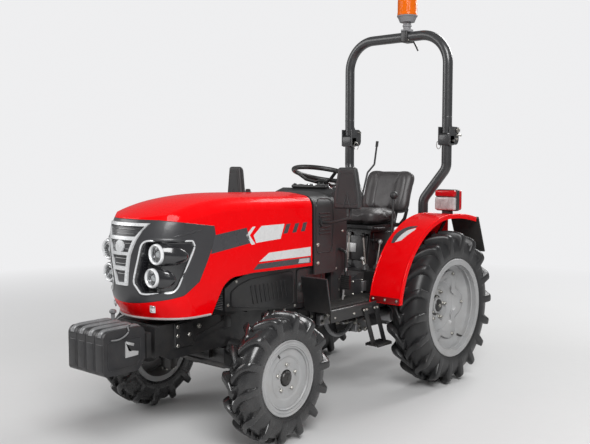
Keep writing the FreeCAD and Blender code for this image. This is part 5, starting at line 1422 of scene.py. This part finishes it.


# weights: rounded top ribs in a paler finish as painted highlight, raised fronts, the retaining pin and
# its ring, a light plate
def makeWeights():
    front = frontY - 0.72
    ribs, fronts = [], []
    for index in range(4):
        x = (index - 1.5) * 0.064
        path = [(x, front + 0.0045, 0.547), (x, front + 0.012, 0.563), (x, front + 0.034, 0.57),
            (x, front + 0.11, 0.571), (x, front + 0.18, 0.57), (x, front + 0.205, 0.559)]
        ribs.append(tube(smoothPath(path, 34), 0.012, 14))
        fronts.append(roundBox((x, front + 0.001, 0.462), (0.046, 0.007, 0.118), 0.0032, 3))
    # the top ribs take a paler copy of the cast iron: painted highlight where the tops catch the light
    addPiece("weightRibs", ribs, "paleCastAndHighlight")
    addPiece("weightFronts", fronts, "castIron")
    plates = []
    for sign in (1, -1):
        y = front + np.array([0.108, 0.108, 0.174, 0.176, 0.15, 0.126])
        z = np.array([0.517, 0.449, 0.452, 0.468, 0.474, 0.476])
        plates.append(prism(np.stack([y, z], 1), sign * 0.1262, sign * 0.1302))
        plates.append(roundBox((sign * 0.1282, front + 0.132, 0.507), (0.004, 0.046, 0.012), 0.0018, 2,
            turnBy=turnedBy((1, 0, 0), -20)))
    addPiece("weightPlates", plates, "plateLight")
    raised = []
    for sign in (1, -1):
        outline = [(front + 0.022, 0.408), (front + 0.022, 0.53), (front + 0.19, 0.53),
            (front + 0.19, 0.436), (front + 0.168, 0.408)]
        line = roundCorners(outline, 0.12, 5)
        loop = np.insert(line, 0, sign * 0.1265, axis=1)
        raised.append(closedTube(loop, 0.0032, 8, up=(1, 0, 0)))
    addPiece("weightSides", raised, "castIron")
    pin = [turned([(0, 0.05), (0.01, 0.049), (0.016, 0.043), (0.016, 0.035), (0.009, 0.029),
        (0.007, -0.04), (0, -0.04)], (-0.074, front + 0.196, 0.572), (0, 0, 1), 28),
        tube(smoothPath([(0.11, front + 0.15, 0.588), (0.131, front + 0.12, 0.586),
        (0.131, front + 0.124, 0.56), (0.131, front + 0.101, 0.542), (0.131, front + 0.07, 0.534),
        (0.131, front + 0.035, 0.536)], 30), 0.0036, 10)]
    addPiece("weightPin", pin, "paleCastAndHighlight")
    bolts = [boltHeads([(sign * railFace, frontY - 0.336, z) for z in (0.541, 0.5)] +
        [(sign * railFace, frontY - 0.266, 0.497), (sign * railFace, frontY - 0.204, 0.525),
        (sign * railFace, frontY - 0.336, 0.455), (sign * railFace, frontY + 0.3, 0.52),
        (sign * railFace, frontY + 0.38, 0.52), (sign * railFace, frontY + 0.46, 0.52),
        (sign * railFace, frontY + 0.46, 0.45)], (sign, 0, 0), 0.0095, 0.009) for sign in (1, -1)]
    addPiece("railBolts", bolts, "zinc")
    strap = [prism([(frontY - 0.232, 0.462), (frontY - 0.226, 0.484), (frontY - 0.04, 0.53),
        (frontY - 0.034, 0.508)], railFace, 0.1465),
        roundBox((0.143, frontY - 0.03, 0.52), (0.008, 0.05, 0.06), 0.003, 2),
        roundBox((0.142, frontY + 0.38, 0.48), (0.01, 0.23, 0.12), 0.004, 3),
        roundBox((0.1425, frontY - 0.3, 0.5), (0.01, 0.11, 0.11), 0.004, 3)]
    addPiece("railStraps", bothSides(strap), "chassisBlack")


makeWeights()


# front axle: end caps, bolts and nipples on beam and knuckles
def makeAxle():
    beam = []
    for sign in (1, -1):
        beam.append(boltHeads(circle((sign * 0.118, frontY - 0.036, frontAxle[2] + 0.092), 0.022, 4, 0),
            (sign, 0, 0), 0.005, 0.004))
    addPiece("axleBolts", beam, "zinc")
    for side, sign in bothHands:
        low = cornersOf(f"knuckle_{side}")[0]
        x = sign * 0.315
        cap = [turned([(0, 0.008), (0.018, 0.0075), (0.026, 0.004), (0.028, 0.0), (0.028, -0.006),
            (0, -0.006)], (x, frontY, low[2] - 0.001), (0, 0, -1), 32)]
        cap.append(turned([(0, 0.0125), (0.003, 0.012), (0.0042, 0.009), (0.0042, 0.006), (0, 0.006)], (x,
            frontY, low[2] - 0.001), (0, 0, -1), 14))
        addPiece(f"knuckleCap_{side}", cap, "castGrey", f"knuckle_{side}")
        bolts = boltHeads(circle((x, frontY, low[2] + 0.0015), 0.034, 6, 2), (0, 0, -1), 0.0045, 0.005)
        addPiece(f"knuckleBolts_{side}", bolts, "zinc", f"knuckle_{side}")


makeAxle()


# side covers: pressed panels, slots, screws
def makeCovers():
    flat = roundCorners([(-0.74, 0.602), (-0.74, 0.668), (-0.69, 0.697), (-0.61, 0.716), (-0.3, 0.727),
        (-0.3, 0.56), (-0.42, 0.552), (-0.64, 0.586)], 0.12, 5)
    rear = roundCorners([(-0.272, 0.728), (-0.075, 0.733), (-0.075, 0.552), (-0.272, 0.556)], 0.1, 5)
    shapes = [prism(flat, 0.2045, 0.2085), prism(rear, 0.2045, 0.2085)]
    for outline in (flat, rear):
        shapes.append(closedTube(np.insert(outline, 0, 0.2085, axis=1), 0.0024, 8, up=(1, 0, 0)))
    slots = [roundBox((0.2095, y, 0.64), (0.005, 0.012, 0.092), 0.0022, 2, turnBy=turnedBy((1, 0, 0), 12))
        for y in np.linspace(-0.6, -0.36, 9)]
    addPiece("coverPanels", bothSides(shapes + slots), "panelBlack")
    screws = boltHeads([(coverFace, -0.76, 0.61), (coverFace, -0.705, 0.716), (coverFace, -0.286, 0.745),
        (coverFace, -0.06, 0.748), (coverFace, -0.06, 0.54), (coverFace, -0.286, 0.545)], (1, 0, 0),
        0.0055, 0.004, 12)
    addPiece("coverScrews", bothSides([screws]), "zinc")


makeCovers()
print("front end done")


# gear case and rear axle: flanges, bolts, filter, pipes and couplings below the platform
def makeCase():
    shapes = []
    for y, top in ((-0.08, 0.7), (0.15, 0.64), (0.43, 0.64)):
        middle = (0.3075 + top + 0.004) / 2
        for sign in (1, -1):
            shapes.append(roundBox((sign * railFace, y, middle), (0.01, 0.02, top - 0.31), 0.004, 2))
        shapes.append(roundBox((0, y, 0.3085), (0.276, 0.02, 0.008), 0.003, 2))
    shapes += [roundBox((0.141, 0.29, 0.56), (0.008, 0.2, 0.09), 0.004, 3),
        roundBox((0.141, 0.03, 0.47), (0.01, 0.11, 0.18), 0.005, 3),
        roundBox((-0.141, 0.29, 0.5), (0.008, 0.2, 0.15), 0.004, 3)]
    for sign in (1, -1):
        shapes.append(turned([(0.128, -0.004), (0.128, 0.01), (0.122, 0.015), (0.1, 0.016),
            (0.096, -0.004)], (sign * 0.14, rearY, rearAxle[2]), (sign, 0, 0), 64, True))
    addPiece("caseRibs", shapes, "castGrey")
    bolts = []
    for y, top in ((-0.08, 0.69), (0.15, 0.63), (0.43, 0.63)):
        z = np.arange(0.335, top, 0.058)
        for sign in (1, -1):
            bolts.append(boltHeads(np.stack([np.full(len(z), sign * 0.1455), np.full(len(z), y), z], 1),
                (sign, 0, 0), 0.0065, 0.007))
    for sign in (1, -1):
        bolts.append(boltHeads(circle((sign * 0.1555, rearY, rearAxle[2]), 0.112, 12, 0), (sign, 0, 0),
            0.0065, 0.008))
    bolts.append(boltHeads([(0.145, y, z) for y in (0.205, 0.29, 0.375) for z in (0.525, 0.595)],
        (1, 0, 0), 0.0055, 0.006))
    addPiece("caseBolts", bolts, "zinc")
    # one large pipe bends under the platform, smaller lines run beside it
    big = tube(smoothPath(at([(152, -690, 430), (154, -672, 398), (158, -640, 350), (162, -590, 322),
        (162, -530, 322), (160, -470, 345), (156, -430, 375), (150, -420, 400)]), 44), 0.0125, 16)
    lines = [tube(smoothPath(at([(150, -700, 480), (176, -660, 440), (182, -560, 395), (180, -440, 388),
        (172, -330, 392), (150, -250, 420)]), 44), 0.0065, 12),
        tube(smoothPath(at([(150, -650, 500), (190, -600, 470), (196, -500, 452), (190, -380, 440),
        (160, -300, 470)]), 40), 0.006, 12),
        tube(smoothPath(at([(-150, -680, 470), (-180, -600, 420), (-184, -420, 400), (-160, -280, 430)]),
        40), 0.008, 12)]
    addPiece("casePipes", [big], "paleCastAndHighlight")
    addPiece("caseLines", lines, "hoseRubber")
    nuts = [boltHeads(at([(156, -428, 372), (154, -675, 402), (176, -330, 392), (172, -668, 446),
        (152, -250, 420), (186, -452, 388)]), [(0.2, 1, 0.6), (0, -1, 2), (0, 1, 0), (-0.4, -1, 0.6),
        (-0.4, 1, 0.4), (0, 1, 0)], 0.012, 0.02),
        boltHeads(at([(178, -400, 350), (178, -345, 372), (179, -518, 386), (179, -433, 371),
        (179, -317, 365), (179, -395, 320), (179, -340, 318), (179, -600, 396), (174, -723, 416),
        (172, -700, 438), (172, -650, 415)]), (1, 0, 0), 0.011, 0.014)]
    addPiece("caseNuts", nuts, "zinc")
    block = [roundBox(at((160, -360, 352)), (0.04, 0.13, 0.084), 0.006, 3),
        roundBox(at((158, -480, 390)), (0.04, 0.12, 0.036), 0.006, 3),
        roundBox(at((155, -690, 425)), (0.036, 0.09, 0.06), 0.006, 3),
        turned([(0, -0.004), (0.03, -0.002), (0.04, 0.004), (0.04, 0.074), (0.036, 0.084), (0.02, 0.088),
        (0, 0.088)], at((142, -120, 372)), (1, 0, 0), 40),
        roundBox(at((150, -300, 560)), (0.018, 0.06, 0.06), 0.004, 3)]
    addPiece("caseValves", block, "aluminium")
    cable = [tube(smoothPath(at([(180, -720, 640), (168, -690, 560), (156, -600, 500), (160, -450, 505),
        (162, -350, 502), (142, -310, 498)]), 40), 0.0042, 8),
        tube(smoothPath(at([(170, -760, 620), (164, -720, 540), (170, -640, 470), (176, -560, 430),
        (168, -450, 420), (142, -400, 416)]), 40), 0.0048, 8)]
    addPiece("caseCables", bothSides(cable), "hoseRubber")


makeCase()


# beside and below the seat: levers, knobs, a blank light plate, pedal rods
def makeControls():
    levers, grips, lights = [], [], []
    for foot, top, size, kind in (((92, -215, 650), (60, -196, 842), 13, "dark"), ((-30, -236, 650),
            (-45, -190, 846), 12, "light"), ((150, -190, 650), (128, -118, 800), 14, "light"),
            ((118, -262, 650), (74, -222, 705), 11, "light"), ((-150, -190, 650), (-150, -130, 800), 14,
            "dark"), ((262, -170, 650), (268, -96, 880), 15, "dark"), ((300, -150, 650), (308, -80, 830),
            15, "yellow")):
        foot, top = at(foot), at(top)
        levers.append(tube([foot, (foot + top) / 2, top], 0.0052, 10))
        ball = turned([(0, 1.0), (0.45, 0.92), (0.8, 0.62), (1.0, 0.1), (0.92, -0.45), (0.62, -0.9),
            (0.4, -1.2), (0, -1.2)], (0, 0, 0), top - foot, 24)
        points = ball[0] * size / 1000 + top
        (lights if kind == "light" else grips).append((points, ball[1]))
        grips.append(turned([(0, 0.028), (0.008, 0.027), (0.015, 0.018), (0.019, 0.008), (0.024, 0.0),
            (0, 0.0)], foot - [0, 0, 0.002], (0, 0, 1), 24))
    addPiece("leverRods", levers, "zinc")
    addPiece("leverGrips", grips, "blackPlastic")
    addPiece("leverKnobs", lights, "plateLight")
    lean = turnedBy((1, 0, 0), -8)
    plate = [roundBox(at((-22, -203, 764)), (0.066, 0.003, 0.054), 0.0012, 2, turnBy=lean)]
    addPiece("seatPlate", plate, "plateLight")
    frameBits = [roundBox(at((0, -196, 764)), (0.176, 0.01, 0.15), 0.006, 3, turnBy=lean),
        roundBox(at((0, -150, 812)), (0.24, 0.05, 0.018), 0.005, 3),
        roundBox(at((98, -60, 800)), (0.016, 0.18, 0.11), 0.005, 3),
        roundBox(at((-98, -60, 800)), (0.016, 0.18, 0.11), 0.005, 3)]
    addPiece("seatFrame", frameBits, "chassisBlack")
    springs = []
    for x in (-60, 60):
        t = np.linspace(0, 1, 150)
        a = t * 2 * np.pi * 6
        coil = np.stack([x / 1000 + 0.024 * np.cos(a),
            behind(90) + 0.024 * np.sin(a), 0.795 + 0.085 * t], 1)
        springs.append(tube(coil, 0.0036, 8))
    addPiece("seatSprings", springs, "paleCastAndHighlight")
    rods = [tube(at([(251, -613, 704), (236, -608, 620), (219, -604, 522)]), 0.0048, 10),
        tube(at([(-246, -613, 700), (-232, -608, 620), (-216, -604, 522)]), 0.0048, 10)]
    addPiece("pedalRods", rods, "plateLight")
    pads = []
    for x in (0.246, -0.238, -0.302):
        for z in np.linspace(0.598, 0.654, 6):
            pads.append(roundBox((x, ahead(616.5), z), (0.05, 0.004, 0.005), 0.0016, 2))
    addPiece("pedalPads", pads, "flapRubber")


makeControls()
print("case and controls done")


# engine bay, seen with the hood up
forward = (0, -1, 0)


def makeEngineRibs():
    iron = [roundBox((0, -0.325, 0.93), (0.15, 0.4, 0.062), 0.018, 4),
        roundBox((0.121, -0.325, 0.76), (0.016, 0.4, 0.03), 0.006, 3),
        roundBox((-0.121, -0.325, 0.76), (0.016, 0.4, 0.03), 0.006, 3),
        roundBox((0, -0.567, 0.66), (0.2, 0.02, 0.3), 0.01, 3)]
    iron += [roundBox((sign * 0.126, y, 0.6), (0.01, 0.014, 0.22), 0.004, 2) for y in
        np.linspace(-0.52, -0.14, 6) for sign in (1, -1)]
    addPiece("engineRibs", iron, "castGrey")


def makeExhaust():
    pipes = []
    for y in (-0.45, -0.325, -0.2):
        pipes.append(tube(smoothPath([(-0.1, y, 0.86), (-0.14, y, 0.862), (-0.16, y - 0.01, 0.86)], 10),
            0.018, 14))
    pipes.append(tube([(-0.16, -0.48, 0.86), (-0.16, -0.325, 0.86), (-0.16, -0.18, 0.86)], 0.024, 20))
    pipes.append(tube(smoothPath([(-0.16, -0.2, 0.85), (-0.165, -0.18, 0.78), (-0.168, -0.17, 0.65),
        (-0.165, -0.16, 0.52), (-0.165, -0.1, 0.43), (-0.165, 0.08, 0.42)], 40), 0.021, 18))
    addPiece("exhaust", pipes, "castIron")


def makeFilters():
    can = [turned([(0, 0), (0.05, 0.0), (0.062, 0.008), (0.062, 0.19), (0.056, 0.2), (0.056, 0.245),
        (0.048, 0.256), (0, 0.258)], (0.075, -0.48, 1.0), (0, 1, 0), 48),
        turned([(0, 0.0), (0.038, 0.0), (0.04, 0.01), (0.04, 0.072), (0.034, 0.084), (0, 0.086)],
        (0.132, -0.23, 0.65), (1, 0, -0.25), 36)]
    addPiece("filters", can, "blackPlastic")


def makeHoses():
    # air and water hoses, then three thin fuel lines from the pump's block to the head
    hoses = [tube(smoothPath([(0.075, -0.482, 1.0), (0.07, -0.54, 0.995), (0.02, -0.56, 0.975),
        (-0.05, -0.52, 0.96), (-0.09, -0.45, 0.9)], 40), 0.022, 18),
        tube(smoothPath([(-0.06, -0.66, 0.955), (-0.06, -0.61, 0.955), (-0.05, -0.575, 0.92),
        (-0.045, -0.56, 0.88)], 30), 0.018, 16),
        tube(smoothPath([(0.1, -0.655, 0.62), (0.11, -0.61, 0.61), (0.105, -0.56, 0.56)], 24), 0.018, 16)]
    for foot, over, knee, end in ((-0.38, 0.15, -0.36, -0.33), (-0.35, 0.16, -0.3, -0.22),
            (-0.4, 0.15, -0.43, -0.45)):
        line = [(0.134, foot, 0.72), (over, knee, 0.8), (0.11, end, 0.88)]
        hoses.append(tube(smoothPath(line, 24), 0.0036, 8))
    addPiece("engineHoses", hoses, "hoseRubber")


def makeEngineAluminium():
    bright = [turned([(0, 0.034), (0.034, 0.033), (0.046, 0.026), (0.05, 0.012), (0.05, -0.05),
        (0.044, -0.06), (0, -0.062)], (0.15, -0.52, 0.75), forward, 40),
        roundBox((0.134, -0.38, 0.7), (0.03, 0.12, 0.06), 0.008, 3),
        turned([(0, 0.02), (0.02, 0.019), (0.026, 0.014), (0.026, 0.004), (0.02, 0.0), (0, 0)],
        (0.0, -0.25, 0.96), (0, 0, 1), 28),
        roundBox((-0.1, -0.56, 0.52), (0.06, 0.04, 0.1), 0.01, 3)]
    addPiece("engineAluminium", bright, "aluminium")


def makeBelt():
    wheelSet = [((0.0, -0.59, 0.76), 0.048), ((0.15, -0.575, 0.75), 0.03), ((0.0, -0.59, 0.56), 0.062)]
    pulleys = [turned([(0, 0.012), (r * 0.4, 0.01), (r * 0.9, 0.012), (r, 0.01), (r * 0.86, 0.0),
        (r, -0.01), (r * 0.9, -0.012), (0, -0.012)], place, forward, 40) for place, r in wheelSet]
    addPiece("pulleys", pulleys, "bareSteel")
    # the belt runs straight between the pulleys and bends round each
    a = np.radians(np.linspace(0, 360, 120, endpoint=False))
    support = [np.array([c[0], c[2]]) for c, r in wheelSet]
    reach = np.stack([s[0] * np.cos(a) + s[1] * np.sin(a) + r * 0.98 for s, (c, r) in
        zip(support, wheelSet)])
    pick = reach.argmax(0)
    ring = np.array(support)[pick] + np.stack([np.cos(a), np.sin(a)],
        1) * (np.array([r for c, r in wheelSet])[pick] * 0.98)[:, None]
    belt = np.stack([ring[:, 0], np.full(120, -0.588), ring[:, 1]], 1)
    addPiece("belt", closedTube(belt, 0.0055, 8, up=(0, 1, 0)), "hoseRubber")


def makeFan():
    blades = []
    for k in range(7):
        turn = turnedBy((0, 1, 0), k * 360 / 7)
        twist = turnedBy((1, 0, 0), 28)
        blade = roundBox((0, 0, 0), (0.1, 0.004, 0.05), 0.0018, 2, turnBy=twist)
        blades.append(((blade[0] + [0.088, 0, 0]) @ turn.T + [0, -0.618, 0.76], blade[1]))
    blades.append(turned([(0, 0.014), (0.036, 0.012), (0.042, 0.004), (0.042, -0.01), (0, -0.01)],
        (0, -0.618, 0.76), forward, 32))
    shroud = [turned([(0.152, 0.0), (0.158, 0.0), (0.16, 0.024), (0.176, 0.026), (0.176, 0.03),
        (0.152, 0.03)], (0, -0.62, 0.77), forward, 72, True)]
    addPiece("fan", blades + shroud, "blackPlastic")


def makeRadiator():
    fins = [roundBox((0, -0.761, z), (0.34, 0.003, 0.0036), 0.0012, 1) for z in
        np.linspace(0.585, 0.94, 44)]
    tank = [roundBox((0, -0.706, 0.982), (0.35, 0.074, 0.052), 0.014, 4),
        roundBox((0, -0.706, 0.575), (0.35, 0.074, 0.03), 0.01, 3)]
    addPiece("radiatorFins", fins, "paleCastAndHighlight")
    addPiece("radiatorTanks", tank, "chassisBlack")
    cap = turned([(0, 0.022), (0.016, 0.021), (0.024, 0.016), (0.024, 0.006), (0.018, 0.0), (0, 0.0)],
        (0.105, -0.706, 1.006), (0, 0, 1), 28)
    addPiece("radiatorCap", cap, "zinc")


def makeBattery():
    low, high = cornersOf("battery")
    mid = (low + high) / 2
    lid = [roundBox((0, mid[1], high[2] + 0.004), (0.228, 0.154, 0.018), 0.005, 3)]
    lid += [turned([(0, 0.006), (0.01, 0.0055), (0.012, 0.002), (0.012, 0), (0, 0)], (x, mid[1], high[2] +
        0.0125), (0, 0, 1), 20) for x in np.linspace(-0.07, 0.07, 6)]
    straps = [roundBox((0, mid[1], high[2] + 0.018), (0.25, 0.018, 0.005), 0.002, 2),
        tube([(0.123, mid[1], low[2]), (0.123, mid[1], high[2] + 0.03)], 0.004, 10),
        tube([(-0.123, mid[1], low[2]), (-0.123, mid[1], high[2] + 0.03)], 0.004, 10)]
    addPiece("batteryLid", lid, "blackPlastic")
    addPiece("batteryStraps", straps, "zinc")
    ends = [turned([(0, 0.018), (0.007, 0.018), (0.009, 0.0), (0, 0)], (x, mid[1] + 0.052, high[2] +
        0.012), (0, 0, 1), 20) for x in (-0.09, 0.09)]
    ends += [roundBox((x, mid[1] + 0.052, high[2] + 0.022), (0.026, 0.03, 0.01), 0.003, 2) for x in
        (-0.09, 0.09)]
    addPiece("batteryPosts", ends, "aluminium")


makeEngineRibs()
makeExhaust()
makeFilters()
makeHoses()
makeEngineAluminium()
makeBelt()
makeFan()
makeRadiator()
makeBattery()


# rear hitch: shield, couplers, ball eyes, turnbuckles
def makeHitch():
    back = behind(165)
    shield = [roundBox((0, back + 0.044, 0.5555), (0.176, 0.088, 0.005), 0.002, 2)]
    shield += [roundBox((sign * 0.0865, back + 0.04, 0.528), (0.005, 0.08, 0.056), 0.002, 2) for sign in
        (1, -1)]
    addPiece("shaftShield", shield, "chassisBlack")
    rings = [turned([(0.034, -0.002), (0.034, 0.012), (0.046, 0.014), (0.05, 0.01), (0.05, -0.002)],
        (0, back, 0.52), (0, 1, 0), 48, True)]
    for sign in (1, -1):
        rings.append(roundBox((sign * 0.092, back + 0.01, 0.64), (0.056, 0.024, 0.11), 0.006, 3))
    addPiece("rearPlates", rings, "castGrey")
    couplers, caps = [], []
    for sign in (1, -1):
        for z in (0.612, 0.668):
            place = (sign * 0.092, back + 0.02, z)
            couplers.append(turned([(0, 0.034), (0.013, 0.034), (0.016, 0.03), (0.016, 0.022),
                (0.0185, 0.02), (0.0185, 0.004), (0.015, 0.0), (0, 0)], place, (0, 1, 0), 32))
            caps.append(turned([(0, 0.044), (0.015, 0.043), (0.018, 0.039), (0.018, 0.03), (0.0135, 0.03),
                (0, 0.034)], place, (0, 1, 0), 28))
    addPiece("couplers", couplers, "zinc")
    addPiece("couplerCaps", caps, "darkRed")
    bolts = boltHeads([(x, back + 0.0005, z) for x in (-0.12, 0.12) for z in
        (0.36, 0.42, 0.48, 0.545, 0.605)], (0, 1, 0), 0.008, 0.008)
    bracket = boltHeads([(sign * 0.024, back + 0.0125, z) for sign in (1, -1) for z in (0.572, 0.6)],
        (0, 1, 0), 0.006, 0.006)
    addPiece("rearBolts", [bolts, bracket], "zinc")
    for side, sign in bothHands:
        high = cornersOf(f"lower_link_{side}")[1]
        name = f"lift_rod_{side}"
        rlow, rhigh = cornersOf(name)
        where = readPoints(bpy.data.objects[name].data)
        top = where[where[:, 2] > rhigh[2] - 0.04].mean(0)
        bottom = where[where[:, 2] < rlow[2] + 0.04].mean(0)
        line = bottom - top
        collar = turned([(0.0, 0.0), (0.013, 0.0), (0.018, 0.006), (0.018, 0.09), (0.013, 0.096),
            (0, 0.096)], top + line * 0.36, line, 32)
        grips = [turned([(0, 0), (0.016, 0.0), (0.017, 0.002), (0.017, 0.014), (0.016, 0.016),
            (0, 0.016)], top + line * share, line, 6) for share in (0.3, 0.7)]
        addPiece(f"liftRodCollar_{side}", [collar] + grips, "linkGrey", name)
        link = readPoints(bpy.data.objects[f"lower_link_{side}"].data)
        end = link[link[:, 1] > high[1] - 0.05]
        middle = (end.max(0) + end.min(0)) / 2
        half = (end.max(0) - end.min(0))[0] / 2
        ball = [turned([(0.0172, z0), (0.0205, z0 + 0.0005), (0.0225, z0 - 0.004 * np.sign(z0)),
            (0.0225, z0 * 0.8), (0.0172, z0 * 0.8)], middle, (1, 0, 0), 40, True) for z0 in
            (half + 0.0035, -half - 0.0035)]
        addPiece(f"linkBall_{side}", ball, "bareSteel", f"lower_link_{side}")
    tlow, thigh = cornersOf("top_link")
    z = (tlow[2] + thigh[2]) / 2
    y = (tlow[1] + thigh[1]) / 2
    bits = [turned([(0.01, -0.006), (0.0195, -0.005), (0.0205, 0.0), (0.0195, 0.012), (0.01, 0.012)],
        (0, y + shift, z), (0, 1, 0), 6, True) for shift in (-0.16, 0.15)]
    bits.append(tube(smoothPath([(0.0, y - 0.02, z + 0.014), (0.0, y - 0.02, z + 0.034),
        (0.0, y + 0.02, z + 0.05), (0.0, y + 0.11, z + 0.05)], 24), 0.005, 10))
    addPiece("topLinkTurner", bits, "linkGrey", "top_link")


makeHitch()
print("engine and hitch done")


# camera and plain studio
cameraShot = {
    "place": (2.8509, -4.0446, 1.2814),      # from the rear axle's line on the ground
    "look": (-0.65205, 0.75433, -0.07621),
    "lens": 48.855,
}


def makeCamera():
    data = bpy.data.cameras.new("studioCamera")
    data.lens = cameraShot["lens"]
    data.sensor_width = 36.0
    shot = bpy.data.objects.new("studioCamera", data)
    x, y, z = cameraShot["place"]
    shot.location = (x, y + rearY, z)
    shot.rotation_euler = Vector(cameraShot["look"]).to_track_quat("-Z", "Y").to_euler()
    bpy.context.collection.objects.link(shot)
    bpy.context.scene.camera = shot


backdrop = (0.86, 0.86, 0.87)


def makeStudio():
    reach = 40
    mesh = bpy.data.meshes.new("studioFloor")
    mesh.from_pydata([(-reach, -reach, 0), (reach, -reach, 0), (reach, reach, 0), (-reach, reach, 0)], [],
        [(0, 1, 2, 3)])
    floor = bpy.data.objects.new("studioFloor", mesh)
    bpy.context.collection.objects.link(floor)
    pale = finish("floorPale", dict(colour=(0.62, 0.62, 0.62), patch=0.6, bump=0.02,
        shade=(0.6, 0.6, 0.6), rough=(0.6, 0.7)))
    mesh.materials.append(pale)
    # far from the middle the floor fades to the backdrop's own shade, so no edge shows
    tree = pale.node_tree
    where = tree.nodes.new("ShaderNodeTexCoord").outputs["Object"]
    away = newNode(tree, "VectorMath", {0: where}, "Value", operation="LENGTH")
    seen = newNode(tree, "LightPath", {}, "Is Camera Ray")
    far = multiply(tree, spread(tree, away, 2.2, 6.0), seen)
    glow = newNode(tree, "Emission", {"Color": backdrop})
    ground = tree.nodes["Principled BSDF"].outputs[0]
    blend = newNode(tree, "MixShader", {0: far, 1: ground, 2: glow})
    tree.links.new(blend, tree.nodes["Material Output"].inputs["Surface"])
    world = bpy.data.worlds.new("studioSky")
    world.use_nodes = True
    tree = world.node_tree
    soft = newNode(tree, "Background", {"Color": (1, 1, 1), "Strength": 0.27})
    seen = newNode(tree, "Background", {"Color": backdrop})
    direct = newNode(tree, "LightPath", {}, "Is Camera Ray")
    pick = newNode(tree, "MixShader", {0: direct, 1: soft, 2: seen})
    tree.links.new(pick, tree.nodes["World Output"].inputs["Surface"])
    bpy.context.scene.world = world
    for name, place, power, width in (("keyLamp", (4.5, -3.5, 5.0), 440, 3.5), ("fillLamp",
            (-4.5, -4.0, 3.5), 160, 4.0), ("rimLamp", (0.5, 5.5, 4.5), 260, 3.0)):
        light = bpy.data.lights.new(name, "AREA")
        light.energy = power
        light.size = width
        lamp = bpy.data.objects.new(name, light)
        lamp.location = place
        lamp.rotation_euler = (Vector((0, 0, 0.8)) - Vector(place)).to_track_quat("-Z", "Y").to_euler()
        bpy.context.collection.objects.link(lamp)


makeCamera()
makeStudio()
bpy.context.scene.view_settings.view_transform = "Standard"
